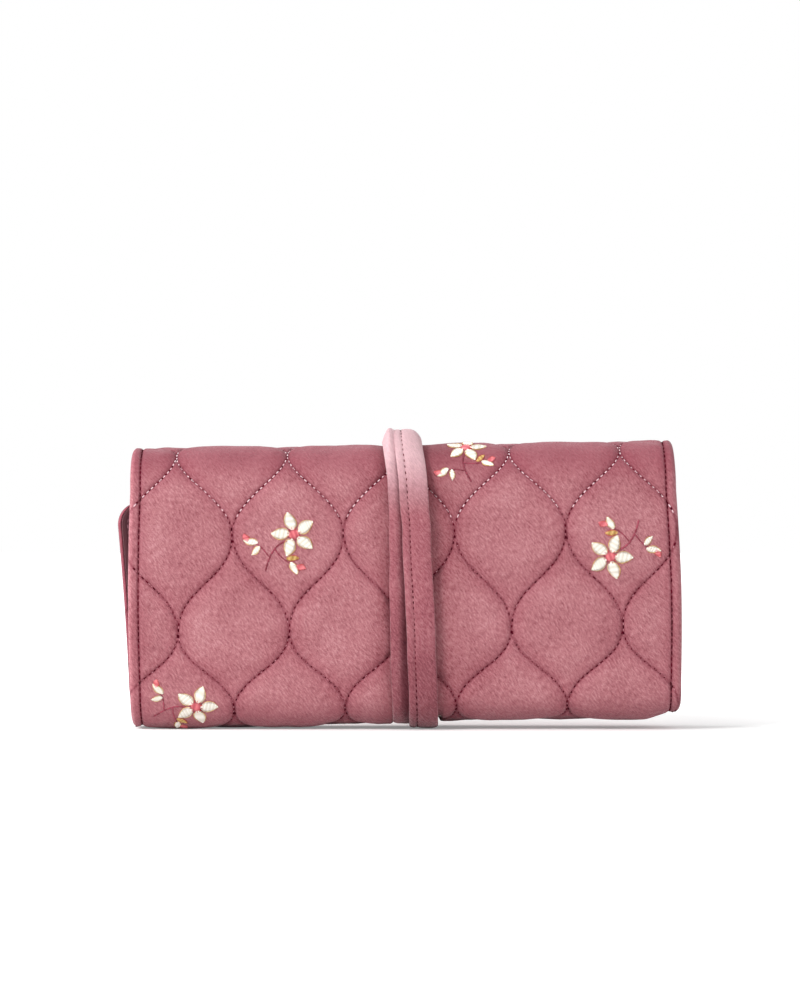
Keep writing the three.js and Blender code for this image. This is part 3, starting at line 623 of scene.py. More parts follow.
def velvet(name, dark, mid, light, turned_away, sheen=0.3, shaded=False):
    """Short-nap velvet, with a colour painted where it faces up or down for the light and shade that fall
    there: painted shade on the quilted cover, a painted sheen on the strap.
    """
    made, tree, shader = material(name)
    vector = attribute(tree, "sheet_place", "Vector")
    nap = noise(tree, vector, 1.5, 2.5, 0.62, (1.0, 0.3, 1.0), -0.61)
    patch = noise(tree, vector, 0.05, 4.0, 0.6)
    grain = noise(tree, vector, 2.4, 2.0, 0.7)
    tone = weighted(tree, (nap, 0.48), (patch, 0.22), (grain, 0.30))
    facing = ramp(tree, tone, [(0.34, dark), (0.5, mid), (0.66, light)])
    # The painted light and shade where the velvet faces up or down.
    facing_light_colour = ramp(tree, tone, [(0.34, (0.72, 0.70, 0.70, 1)), (0.66, WHITE)])
    facing_light_colour = mixed(tree, "MULTIPLY", 1.0, facing_light_colour, linear(turned_away))
    colour = mixed(tree, "MIX", attribute(tree, "turned_away"), facing, facing_light_colour)
    if shaded:
        shades = [(attribute(tree, "shaded"), [(0.0, WHITE), (1.0, (0.32, 0.22, 0.25, 1))])]
    else:
        # Painted shade in the creases along the seams and the hem groove, and a little painted light on the
        # puffs between them.
        near = maths(tree, "DIVIDE", attribute(tree, "seam_distance"), 7.0, True)
        near_stops = [
            (0.0, (0.5, 0.28, 0.35, 1)), (0.05, (0.70, 0.50, 0.57, 1)), (0.12, (0.90, 0.79, 0.84, 1)),
            (0.45, (0.97, 0.91, 0.94, 1)), (1.0, (1.03, 1.04, 1.05, 1))]
        # The strap's painted shadow on the cloth beside it.
        beside_stops = [(0.0, WHITE), (1.0, (0.77, 0.65, 0.67, 1))]
        shades = [(near, near_stops), (attribute(tree, "pressed"), beside_stops)]
    for source, stops in shades:
        colour = mixed(tree, "MULTIPLY", 1.0, colour, ramp(tree, source, stops))
    connect(tree, shader, {
        "Base Color": colour, "Roughness": 0.92, "Specular IOR Level": 0.1,
        "Sheen Weight": sheen, "Sheen Roughness": 0.4, "Sheen Tint": (1.0, 0.82, 0.85, 1),
    })
    bump(tree, shader, weighted(tree, (nap, 1), (grain, 0.7)), 0.00045, 0.9)
    return made


def thread(name, base, shine, roughness=0.5, specular=0.5):
    made, tree, shader = material(name)
    twist = wave(tree, attribute(tree, "sheet_place", "Vector"), 2.2, 1.0)
    colour = ramp(tree, twist, [(0.0, base), (1.0, shine)])
    connect(tree, shader, {"Base Color": colour, "Roughness": roughness, "Specular IOR Level": specular})
    bump(tree, shader, twist, 0.0001, 0.6)
    return made


def lining_cloth(name, dark, light):
    made, tree, shader = material(name)
    vector = attribute(tree, "sheet_place", "Vector")
    weave, patch = wave(tree, vector, 1.1, 0.6), noise(tree, vector, 0.09, 3.0)
    tone = weighted(tree, (weave, 0.35), (patch, 0.65))
    connect(tree, shader, {
        "Base Color": ramp(tree, tone, [(0.2, dark), (0.8, light)]), "Roughness": 0.72,
        "Sheen Weight": 0.25, "Sheen Roughness": 0.4, "Sheen Tint": (0.95, 0.6, 0.68, 1),
    })
    bump(tree, shader, weighted(tree, (weave, 1), (patch, 1)), 0.00015, 0.7)
    return made


def foam_cells(name):
    made, tree, shader = material(name)
    vector = attribute(tree, "sheet_place", "Vector")
    holes = node(tree, "TexVoronoi", {"Vector": vector, "Scale": 1.6}).outputs["Distance"]
    colour = ramp(tree, holes, [(0.0, (240, 236, 226)), (0.8, (206, 200, 188))])
    connect(tree, shader, {"Base Color": colour, "Roughness": 0.95})
    bump(tree, shader, holes, 0.0002, 0.6)
    return made


# The last colour of the cover's and the strap's velvet is painted where they face up or down: painted shade
# on the cover, a painted sheen on the strap.
velvet_cover = velvet("quilted_velvet", (129, 66, 74), (173, 111, 117), (202, 148, 151), (156, 82, 94))
velvet_strap = velvet(
    "strap_velvet", (120, 58, 68), (162, 95, 104), (192, 132, 138), (226, 186, 192), sheen=0.5, shaded=True)
# The pale quilting thread near the top is a painted glint of light on the thread.
thread_pale = thread("thread_pale", (236, 196, 204), (255, 228, 234))
thread_rose = thread("thread_rose", (184, 106, 118), (222, 158, 168))
thread_lining = thread("thread_lining", (128, 74, 88), (168, 112, 126))
# Dark dots of painted shade, standing for the needle holes and the strap's stitch line.
hole_shade = thread("needle_hole", (66, 2, 20), (92, 10, 32), roughness=0.95, specular=0.05)
lining_material = lining_cloth("lining_cloth", (60, 14, 25), (101, 38, 50))
foam = foam_cells("foam_interlining")


def complete(thing, finish, stands_for=(), body=None):
    """Gives a piece its material, in its one slot, hides the CAD solids it stands for and parents it to the
    body it moves with.
    """
    thing.data.materials.clear()
    thing.data.materials.append(finish)
    if stands_for:
        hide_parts(*stands_for)
    if body:
        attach(thing, body)


# Camera: level, straight on to the front, through a long lens, a little left of the middle
PIXELS_PER_MM, PHOTO_HEIGHT, SENSOR_WIDTH = 2.4, 1000, 36.0
CAMERA_DISTANCE, CAMERA_HEIGHT, CAMERA_LEFT = 1.8, 0.096, 0.0015
camera = bpy.data.objects.new("camera", bpy.data.cameras.new("camera"))
bpy.context.scene.collection.objects.link(camera)
bpy.context.scene.camera = camera
front_y = placed([0, -BODY_DEPTH / 2, 0])[1]
camera.location = (SHIFT[0] / 1000 - CAMERA_LEFT, front_y - CAMERA_DISTANCE, CAMERA_HEIGHT)
camera.rotation_euler = (HALF_PI, 0, 0)
camera.data.sensor_width = SENSOR_WIDTH
camera.data.lens = SENSOR_WIDTH * CAMERA_DISTANCE * 1000 * PIXELS_PER_MM / PHOTO_HEIGHT
camera.data.clip_start, camera.data.clip_end = 0.1, 20


# The sheet's layers
LINING_INSET, FOAM_INSET, LAYER_MARGIN = 1.75, 2.3, 0.02


def cover_inner(x, along):
    """The cover's inner side, with the velvet turned in at the edge."""
    edge = edge_distance(x, along)
    lip = NOSE_DEPTH + 2.9 * np.sqrt(np.maximum(0, 1 - unit((1.3 - edge) / 1.3) ** 2))
    turned_in = 1 - smooth((edge - 1.6) / 0.3)
    inner = lip * turned_in + (COVER + 0.1) * (1 - turned_in)
    return np.maximum(inner, relief(x, along) + 0.25 * (edge > 0.01))


def lining_wave(x, along):
    soft = 0.12 * lattice(x / 17, along / 13, 11) + 0.05 * lattice(x / 4, along / 5, 12)
    edge = edge_distance(x, along)
    return soft * smooth((edge - 2) / 5) - 0.35 * bell(edge - EDGE_GROOVE, 0.6)


def rounded_edge(x, along, inset):
    edge = np.clip(edge_distance(x, along) - inset, 0, None)
    return 0.4 * rounding(edge, 0.5)


def lining_outer(x, along):
    return LINING_DEPTH + LAYER_MARGIN + rounded_edge(x, along, LINING_INSET) + 0.3 * lining_wave(x, along)


def lining_inner(x, along):
    return INNER_DEPTH - LAYER_MARGIN - rounded_edge(x, along, LINING_INSET) + lining_wave(x, along)


def foam_outer(x, along):
    return COVER + GAP + rounded_edge(x, along, FOAM_INSET)


def foam_inner(x, along):
    return COVER + GAP + FOAM - rounded_edge(x, along, FOAM_INSET)


for slab in SLABS:
    cover = layer_piece(f"{slab.name}_quilted_velvet", slab, relief, cover_inner, 0.0, 0.75, 268)
    complete(cover, velvet_cover, [f"{stretch}_cover" for stretch in slab.stretches])
    cloth = layer_piece(
        f"{slab.name}_lining_cloth", slab, lining_outer, lining_inner, LINING_INSET, 1.6, 120)
    complete(cloth, lining_material, [f"{stretch}_lining" for stretch in slab.stretches])
    pad = layer_piece(f"{slab.name}_foam", slab, foam_outer, foam_inner, FOAM_INSET, 3.0, 60)
    complete(pad, foam, [f"{stretch}_interlining" for stretch in slab.stretches])


# Stitching
AHEAD = 0.3
# Height above which the quilting thread gets its painted glint.
GLINT_ABOVE = 90.0


def line_samples(start, end, x_of):
    """Places at the stitch pitch along a line on the sheet."""
    fine = np.arange(start, end, 0.1)
    x = x_of(fine)
    length = np.concatenate([[0], np.cumsum(np.hypot(np.diff(x), np.diff(fine)))])
    wanted = np.arange(STITCH_PITCH / 2, length[-1], STITCH_PITCH)
    return np.interp(wanted, length, x), np.interp(wanted, length, fine)


def sheet_axes(x, along, dx, ds, out):
    """Place, direction and outward normal of strands on the sheet that run along dx and ds."""
    here = on_sheet(x, along, out)
    tangent = unit_vectors(on_sheet(x + dx * AHEAD, along + ds * AHEAD, out) - here)
    _, _, ny, nz = skin(along)
    return here, tangent, square_to(tangent, np.stack([np.zeros_like(ny), ny, nz], -1))


def quilting_rows(slab):
    """The quilting lines of one stretch: x and along of each stitch, and of a point just after it."""
    found = []
    for line in QUILT_LINES:
        def x_of(along):
            return line_x(line, along)

        x, s = line_samples(max(slab.start, 1.5), min(slab.end, SHEET_END - 1.5), x_of)
        from_edge = edge_distance(x, s)
        keep = (from_edge > 2.2) & (np.abs(from_edge - EDGE_GROOVE) > 0.5)
        if line[0] % 2:
            others = [np.abs(x - line_x(other, s)) for other in QUILT_LINES if other[0] != line[0]]
            keep = keep & (np.min(others, axis=0) > 0.8)
        found.append((x[keep], s[keep], x_of(s[keep] + AHEAD), s[keep] + AHEAD))
    return [np.concatenate(part) for part in zip(*found)]


def hem_rows(slab):
    """The topstitching along the edges of one stretch, given as quilting_rows gives it."""
    found = []
    for sign in (-1, 1):
        def x_of(along):
            return sign * (side(along)[0] - EDGE_GROOVE)

        x, s = line_samples(max(slab.start, EDGE_GROOVE), min(slab.end, SHEET_END - EDGE_GROOVE), x_of)
        found.append((x, s, x_of(s + AHEAD), s + AHEAD))
    for free_edge, groove in ((0.0, EDGE_GROOVE), (SHEET_END, SHEET_END - EDGE_GROOVE)):
        if free_edge in (slab.start, slab.end):
            half = side(np.array([groove]))[0][0] - EDGE_GROOVE
            x = np.arange(-half, half, STITCH_PITCH)
            found.append((x, np.full_like(x, groove), x + AHEAD, np.full_like(x, groove)))
    return [np.concatenate(part) for part in zip(*found)]


def everywhere(x, along):
    return np.ones(len(x), bool)


def on_hem(x, along):
    return np.abs(edge_distance(x, along) - EDGE_GROOVE) < 0.4


def shows_glint(x, along):
    """Near the top the quilting thread is painted pale, a painted glint of light on it, as in the photo."""
    return skin(along)[1] > GLINT_ABOVE + 4 * lattice(x / 20, along / 20, 21)


def is_rose(x, along):
    return ~shows_glint(x, along)


def stitch_piece(slab, ending, rows, shift, length, width, height, sink, choose, finish):
    """One kind of stitch in one stretch. Without a sink the stitches lie on the lining."""
    x, s, x_next, s_next = rows(slab)
    step = np.hypot(x_next - x, s_next - s)
    dx, ds = (x_next - x) / step, (s_next - s) / step
    x, s = x + dx * shift, s + ds * shift
    keep = (s > slab.start) & (s < slab.end) & choose(x, s)
    x, s, dx, ds = x[keep], s[keep], dx[keep], ds[keep]
    if not len(x):
        return
    depth = INNER_DEPTH + lining_wave(x, s) if sink is None else relief(x, s) + sink
    axes = sheet_axes(x, s, dx, ds, -depth - corner_raise(x, s))
    name = f"{slab.name}_{ending}"
    jitter = np.random.default_rng(len(name) + len(x)).uniform(0.88, 1.12, len(x))
    thing = capsules(name, *axes, length * jitter, width, height, flat_place(x, s))
    complete(thing, finish)
    bend(thing)


# Stitches: name, rows, shift along the row, length, width, height, how deep they sink, where, and thread
HALF_STITCH = STITCH_PITCH / 2
STITCHES = [
    # Pale stitches near the top: a painted glint on the thread.
    ("stitches_pale", quilting_rows, 0.0, 1.6, 0.52, 0.46, -0.18, shows_glint, thread_pale),
    ("stitches_rose", quilting_rows, 0.0, 1.0, 0.34, 0.3, -0.05, is_rose, thread_rose),
    # Needle holes and edge holes: dark dots of painted shade.
    ("needle_holes", quilting_rows, HALF_STITCH, 1.35, 0.8, 0.46, -0.14, everywhere, hole_shade),
    ("edge_holes", hem_rows, HALF_STITCH, 1.9, 0.75, 0.42, -0.1, on_hem, hole_shade),
    ("lining_stitches", hem_rows, 0.0, 1.6, 0.5, 0.45, None, on_hem, thread_lining),
]
for slab in SLABS:
    for kind in STITCHES:
        stitch_piece(slab, *kind)


# Embroidered sprigs, worked in satin stitch and outlined in gold or red
EMBROIDERY = {
    "cream": thread("embroidery_cream", (232, 226, 212), (255, 252, 244)),
    "gold": thread("embroidery_gold", (176, 132, 62), (226, 190, 118)),
    "coral": thread("embroidery_coral", (208, 92, 104), (236, 136, 142)),
    "red": thread("embroidery_red", (168, 44, 40), (204, 84, 72)),
    "burgundy": thread("embroidery_burgundy", (118, 28, 48), (160, 62, 82)),
}
SATIN_PITCH, OUTLINE_PITCH, STEM_PITCH = 0.44, 1.25, 1.5
FLOWER_MIDDLE = (3.0, 1.4)
# Sprigs: x and z of the middle, turn in degrees, and size
SPRIGS = [(-48.5, 79.0, 20, 1.15), (88.5, 75.0, 200, 1.15), (26.5, 118.0, 65, 1.05), (-91.0, 9.0, -15, 1.1)]
# Stems: the three points each is drawn through, and its width and height
STEMS = [
    (((-11.5, -7.5), (-6, 1), (0, 0)), 0.75, 0.5),
    (((-8.5, -3.0), (-9.5, 2), (-12.5, 4.0)), 0.6, 0.45),
    (((-5.5, -1.2), (-4.5, -6), (-0.5, -9.5)), 0.6, 0.45),
]
# Leaves: root, angle, length, width and colour
LEAVES = [
    ((-10.5, 3.0), 150, 5.2, 2.4, "cream"), ((-10.2, 1.5), 205, 4.2, 2.0, "cream"),
    ((-1.6, -7.6), -85, 5.0, 2.4, "cream"), ((-2.6, -5.8), -20, 4.6, 2.0, "gold"),
    ((-13.5, 4.6), 100, 3.2, 2.2, "coral"), ((-0.2, -9.6), -38, 3.4, 2.4, "coral"),
]


def turned(u, v, angle):
    cos, sin = math.cos(math.radians(angle)), math.sin(math.radians(angle))
    return u * cos - v * sin, u * sin + v * cos


def leaf(root, angle, length, width, slant=0.35):
    """Satin strands across a pointed leaf, and the stitches of its outline, as pairs of end points."""
    def rim(t, spread, sign):
        half = (width / 2 + spread) * np.sin(math.pi * t**0.8) ** 0.75
        return np.stack(turned(t * length + sign * slant * half, sign * half, angle), -1) + root

    t = np.arange(SATIN_PITCH / 2, length, SATIN_PITCH) / length
    satin = np.stack([rim(t, 0.0, sign) for sign in (-1, 1)], 1)
    t = np.linspace(0, 1, int(length / OUTLINE_PITCH) + 1)
    lines = [rim(t, 0.12, sign) for sign in (-1, 1)]
    return satin, np.concatenate([np.stack([line[:-1], line[1:]], 1) for line in lines])


def stem(points):
    """Stitches along a smooth line through the points, each begun beside the last one's end."""
    points = np.array(points, float)
    t = np.linspace(0, 1, 40)[:, None]
    line = (1 - t) ** 2 * points[0] + 2 * t * (1 - t) * points[1] + t**2 * points[2]
    length = np.concatenate([[0], np.cumsum(np.linalg.norm(np.diff(line, axis=0), axis=1))])
    places = np.linspace(0, length[-1], max(2, int(length[-1] / STEM_PITCH) + 1))
    line = np.stack([np.interp(places, length, line[:, i]) for i in (0, 1)], -1)
    return np.stack([line[:-1], line[1:]], 1)


def sprig():
    """Stitches of one sprig about its own middle: colour, end points, width and height."""
    work = [("burgundy", stem(points), width, height) for points, width, height in STEMS]
    for *shape, colour in LEAVES:
        satin, outline = leaf(*shape)
        work.append((colour, satin, SATIN_PITCH * 1.25, 0.62))
        work.append(("gold" if colour == "cream" else "red", outline, 0.34, 0.5))
    for angle in range(14, 360, 72):
        root = np.add(turned(1.7, 0, angle), FLOWER_MIDDLE)
        satin, outline = leaf(root, angle, 6.6, 4.1, 0.2)
        work += [("cream", satin, SATIN_PITCH * 1.25, 0.75), ("gold", outline, 0.36, 0.55)]
    rows = np.arange(-1.7, 1.71, SATIN_PITCH)
    half = np.sqrt(1.85**2 - rows**2)
    disc = np.stack([np.stack([rows, sign * half], -1) for sign in (-1, 1)], 1) + FLOWER_MIDDLE
    spokes = np.radians(np.arange(0, 360, 30))
    ring = np.stack([np.cos(spokes), np.sin(spokes)], -1)
    rays = np.stack([ring * 1.75, ring * 2.6], 1) + FLOWER_MIDDLE
    return work + [("coral", disc, SATIN_PITCH * 1.3, 0.95), ("red", rays, 0.34, 0.9)]


def front_along(z):
    return FRONT_START + z - BOTTOM_RADIUS


def strands(slab, middle_x, z, angle, size, ends, width, height):
    """One colour's stitches of a sprig on one stretch, as the arrays that capsules() takes."""
    u, v = turned(ends[..., 0] * size, ends[..., 1] * size, angle)
    x, s = middle_x + u, front_along(z) + v
    keep = (s.mean(1) > slab.start) & (s.mean(1) < slab.end)
    x, s = x[keep], s[keep]
    step_x, step_s = x[:, 1] - x[:, 0], s[:, 1] - s[:, 0]
    x, s = x.mean(1), s.mean(1)
    run = np.maximum(np.hypot(step_x, step_s), 1e-3)
    out = height * 0.3 - relief(x, s) - corner_raise(x, s)
    axes = sheet_axes(x, s, step_x / run, step_s / run, out)
    return *axes, run + 0.3, np.full(len(x), width), np.full(len(x), height), flat_place(x, s)


for slab in SLABS[1:3]:
    for colour, finish in EMBROIDERY.items():
        pieces = [
            strands(slab, *place, *work) for place in SPRIGS for shade, *work in sprig() if shade == colour]
        parts = [np.concatenate(part) for part in zip(*pieces)]
        if len(parts[0]):
            thing = capsules(f"{slab.name}_embroidery_{colour}", *parts)
            complete(thing, finish)
            bend(thing)


# Strap: its turns over the sheet, from the end of the outer turn to the end of the inner one
STRAP_PLACES = [
    46.5 - LOOP, FRONT_START - LOOP, FRONT_END - LOOP, 6.5, 34.5, FRONT_START, FRONT_END, LOOP - 7.5]
STRAP_ACROSS = [8.4, 8.4, 1.9, 1.9, 1.75, 1.6, -2.1, -2.1]
OUTER_SHARE = [1, 1, 1, 1, 0, 0, 0, 0]
# Each pass over the front as it lies in the photograph: height and x, from the bottom up
FIRST_PASS = ([2, 6, 21, 54, 88, 104, 112, 121], [1.6, 1.4, 0.8, 0.2, -0.05, -0.6, -1.7, -3.2])
SECOND_PASS = ([2, 21, 46, 71, 88, 104, 121], [8.5, 7.9, 7.2, 5.8, 5.1, 3.9, 1.3])
STRAP_TOP_LIFT, STRAP_PROUD = 1.7, 2 * STRAP_LAYER + 0.6
STRAP_STITCH_X, STRAP_STITCH_PITCH = -2.7, 2.3


def strap_line(along):
    """x, y and z, outward normal and outer share of the strap's middle."""
    x = np.interp(along, STRAP_PLACES, STRAP_ACROSS)
    share = smooth(np.interp(along, STRAP_PLACES, OUTER_SHARE))
    y, z, ny, nz = skin(along)
    passed = np.where(share > 0.5, np.interp(z, *SECOND_PASS), np.interp(z, *FIRST_PASS))
    x = x + (passed - x) * smooth((0.45 - ny) / 0.6)
    lift = STRAP_TOP_LIFT * unit(nz) ** 2 - STRAP_PROUD * unit(-nz) ** 2
    out = STRAP_GAP + STRAP_THICK / 2 + share * STRAP_LAYER + lift
    return x, np.stack([y + ny * out, z + nz * out], -1), np.stack([ny, nz], -1), share


def strap_droop(along, lx, share):
    """Over the top each turn arches over its free side, and down the front the turn beneath leans back."""
    _, _, ny, nz = skin(along)
    over, under = share[:, None], 1 - share[:, None]
    right, left = unit((lx - 0.3) / 5.7) ** 2.2, unit((-lx - 3.4) / 2.6) ** 1.6
    arch = 2.3 * bell(lx + 3.0, 3.2) - 3.4 * left
    leaned = 0.35 - 1.2 * smooth((lx + 4.5) / 5)
    at_top, at_front = unit(nz)[:, None] ** 2, unit(-ny)[:, None]
    return at_top * (-3.3 * right * over + arch * under) + at_front * leaned * under


def strap_section():
    """Outline of the strap across its width: outer face from left to right, then the inner face back."""
    half, thick = STRAP_WIDTH / 2, STRAP_THICK / 2
    rim = np.array([0.86, 0.94, 0.985, 1.0])
    lx = np.concatenate([
        -half * rim[::-1], [-half * 0.74, -3.5, -3.05, -2.7, -2.35, -1.9],
        half * np.linspace(-0.12, 0.74, 9), half * rim])
    dome = (thick + 0.45) * (np.maximum(0, 1 - np.abs(lx / half) ** 4)) ** 0.5
    seam = lx - STRAP_STITCH_X
    groove = 0.5 * bell(seam, 0.4) + 0.22 * bell(seam, 1.5)
    return np.stack([lx, dome], -1), np.stack([lx, -dome], -1)[-2:0:-2], groove


def strap_points(along, lx, lh):
    """Points of the strap, lx to the right of its middle and lh outside it."""
    x, centre, normal, share = strap_line(along)
    lh = lh + strap_droop(along, lx, share)
    yz = centre[:, None, :] + normal[:, None, :] * lh[..., None]
    return np.concatenate([(x[:, None] + lx)[..., None], yz], -1)


def make_strap():
    along = np.linspace(STRAP_PLACES[0], STRAP_PLACES[-1], 520)
    down = along[:, None]
    upper, lower, groove = strap_section()
    lx, lh = (np.repeat(part[None], len(along), 0) for part in np.concatenate([upper, lower]).T)
    share = strap_line(along)[3][:, None]
    on_top = np.arange(lx.shape[1]) < len(upper)
    ripple = 0.10 * lattice(lx / 2.6, down / 3.1, 31) + 0.14 * lattice(lx / 8, down / 14, 32)
    sewn = np.concatenate([groove, np.zeros(len(lower))]) * share
    lh = lh + np.where(on_top, ripple * (1 - np.abs(lx / 6) ** 6), 0) - sewn
    lx = lx + 0.16 * lattice(0 * lx, down / 9.0, 33) + 0.06 * lattice(np.sign(lx), down / 3.0, 34)
    to_end = np.minimum(along - along[0], along[-1] - along)
    narrowed = 1 - 0.16 * rounding(to_end, 3.0)[:, None]
    points = strap_points(along, lx * narrowed, lh)
    thing = new_object("wrap_strap", placed(points.reshape(-1, 3)), tube_faces(*lx.shape))
    _, z, ny, nz = skin(down)
    give(thing, "sheet_place", flat_place(lx, down))
    # Painted sheen where the strap turns over the top and high on the front.
    pale = np.clip(unit(nz) + 0.35 * smooth((z - 88) / 14), 0, 0.95)
    give(thing, "turned_away", np.broadcast_to(pale, lx.shape).ravel())
    beneath = smooth((lx + 3.4) / 4.2) * (1 - share) * unit(-ny)
    give(thing, "shaded", unit(beneath + 0.5 * (1 - smooth(z / 60))).ravel())
    give(thing, "seam_distance", (np.abs(lx - STRAP_STITCH_X) * share + 7 * (1 - share)).ravel())
    return thing


def strap_stitches():
    along = np.arange(STRAP_PLACES[0] + 3, STRAP_PLACES[-1] - 3, STRAP_STITCH_PITCH)
    along = along[strap_line(along)[3] > 0.5]
    seam_x = np.full((len(along), 1), STRAP_STITCH_X)
    here, ahead = (strap_points(places, seam_x, 0.66)[:, 0] for places in (along, along + AHEAD))
    tangent = unit_vectors(ahead - here)
    normal = np.concatenate([np.zeros((len(along), 1)), strap_line(along)[2]], -1)
    axes = tangent, square_to(tangent, normal)
    return capsules("strap_stitches", here, *axes, 1.25, 0.45, 0.35, flat_place(0.0, along))


def squashed(thing):
    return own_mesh(thing)


strap = make_strap()
complete(strap, velvet_strap, ["strap"], "root")
squashed(strap)
# The strap's stitch line is drawn as dots of painted shade.
seam = strap_stitches()
complete(seam, hole_shade, body="root")
squashed(seam)


# Brass of the zips, snaps and press stud
def brass_material(name, tint=(196, 156, 84)):
    made, tree, shader = material(name)
    place = node(tree, "TexCoord").outputs["Object"]
    brushed = noise(tree, place, 900.0, 2.0, 0.6, (0.08, 1.0, 1.0))
    tarnish = noise(tree, place, 160.0, 4.0, 0.6)
    dark, light = (tuple(min(255, int(c * share)) for c in tint) for share in (0.66, 1.18))
    tone = weighted(tree, (brushed, 0.4), (tarnish, 0.6))
    colour = ramp(tree, tone, [(0.3, dark), (0.52, tint), (0.75, light)])
    rough = maths(tree, "ADD", maths(tree, "MULTIPLY", tarnish, 0.25), 0.18)
    connect(tree, shader, {"Base Color": colour, "Roughness": rough, "Metallic": 1.0})
    bump(tree, shader, brushed, 0.00003, 0.4)
    return made


BRASS = brass_material("brass")
ZIP_METAL = ["teeth_upper", "teeth_lower", "top_stop", "bottom_stop", "slider", "pull"]
METAL_PIECES = [f"{pocket}_zip_{part}" for pocket in ("front", "back") for part in ZIP_METAL]
METAL_PIECES += [f"ring_bar_snap_{part}" for part in ("cap", "socket", "stud")]
METAL_EDGE = {"width": 0.00012, "segments": 2, "limit_method": "ANGLE", "angle_limit": math.radians(40)}
# The CAD's metal pieces, with their brass and soft, lit edges
for name in METAL_PIECES:
    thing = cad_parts[name]
    complete(thing, BRASS)
    edge = thing.modifiers.new("edges", "BEVEL")
    for key, value in METAL_EDGE.items():
        setattr(edge, key, value)


# Zipped pockets
POCKET_HALF, POCKET_LOW, ABOVE_ZIP, POCKET_RISE, SEAT_GAP = 100.0, 20.0, 15.0, 2.7, 0.3
SLIT_HALF, SLIT_HEIGHT, TAPE_HALF, TAPE_EDGE, TAPE_RISE, TEETH_INNER = 95.0, 5.0, 96.0, 11.0, 1.3, 0.8
ZIP_HEIGHTS = {"front": BODY_HEIGHT - TOP_RADIUS - 3 - ABOVE_ZIP, "back": BACK_HEIGHT - 14 - ABOVE_ZIP}
FACING = {"front": 1.0, "back": -1.0}
POCKET_FABRIC, TAPE_FABRIC, LAP = 0.8, 0.4, 0.05
POCKET_STITCH, FOLD_STITCH, CORNER_ROUNDING = 2.0, 1.6, 2.2
RIM_STEPS = np.array([0.25, 0.6, 1.0, 1.5, 2.0, 2.5, 3.0])


def woven(name, dark, light):
    """Herringbone tape."""
    made, tree, shader = material(name)
    vector = attribute(tree, "sheet_place", "Vector")
    chevron, ribs = wave(tree, vector, 1.1), wave(tree, vector, 0.35, direction="Y")
    tone = weighted(tree, (chevron, 0.4), (ribs, 0.25), (noise(tree, vector, 0.4, 3.0), 0.35))
    connect(tree, shader, {"Base Color": ramp(tree, tone, [(0.2, dark), (0.8, light)]), "Roughness": 0.85})
    bump(tree, shader, tone, 0.00015, 0.7)
    return made


velvet_pocket = velvet("pocket_velvet", (92, 42, 56), (122, 62, 77), (150, 88, 102), (150, 88, 102))
tape_material = woven("zip_tape", (70, 30, 42), (112, 58, 72))


def in_pocket(pocket, u, v, rise):
    """Points on a pocket: u along its zip, v above the zip and rise off the lining."""
    u, v, rise = np.broadcast_arrays(u, v, rise)
    y = INNER_DEPTH - BODY_DEPTH / 2 + rise
    return np.stack([FACING[pocket] * u, FACING[pocket] * y, ZIP_HEIGHTS[pocket] + v], -1)


def thick_grid(name, top, base, u, v, keep=None, seam=None):
    """A closed piece from two matching grids of points, with the faces that keep marks."""
    other = u.size
    quads = cells(np.arange(other).reshape(u.shape))
    if keep is not None:
        quads = quads[keep.ravel()]
    edges = np.stack([quads, np.roll(quads, -1, 1)], -1).reshape(-1, 2).tolist()
    inner = {(end, start) for start, end in edges}
    faces = quads.tolist() + (quads[:, ::-1] + other).tolist()
    faces += [[end, start, start + other, end + other] for start, end in edges if (start, end) not in inner]
    used, faces = renumbered(faces)
    thing = new_object(name, placed(np.stack([top, base]).reshape(-1, 3)[used]), faces)
    face_outward(thing)
    give(thing, "sheet_place", flat_place(u, v, np.zeros((2, 1, 1)))[used])
    if seam is not None:
        give(thing, "seam_distance", np.tile(seam.ravel(), 2)[used])
    return thing


def stepped(start, end, extra):
    """Places at an even step, close together at both ends, with some extra ones."""
    even = np.linspace(start, end, int(round((end - start) / 1.6)) + 1)
    return np.unique(np.round(np.concatenate([even, start + RIM_STEPS, end - RIM_STEPS, extra]), 3))


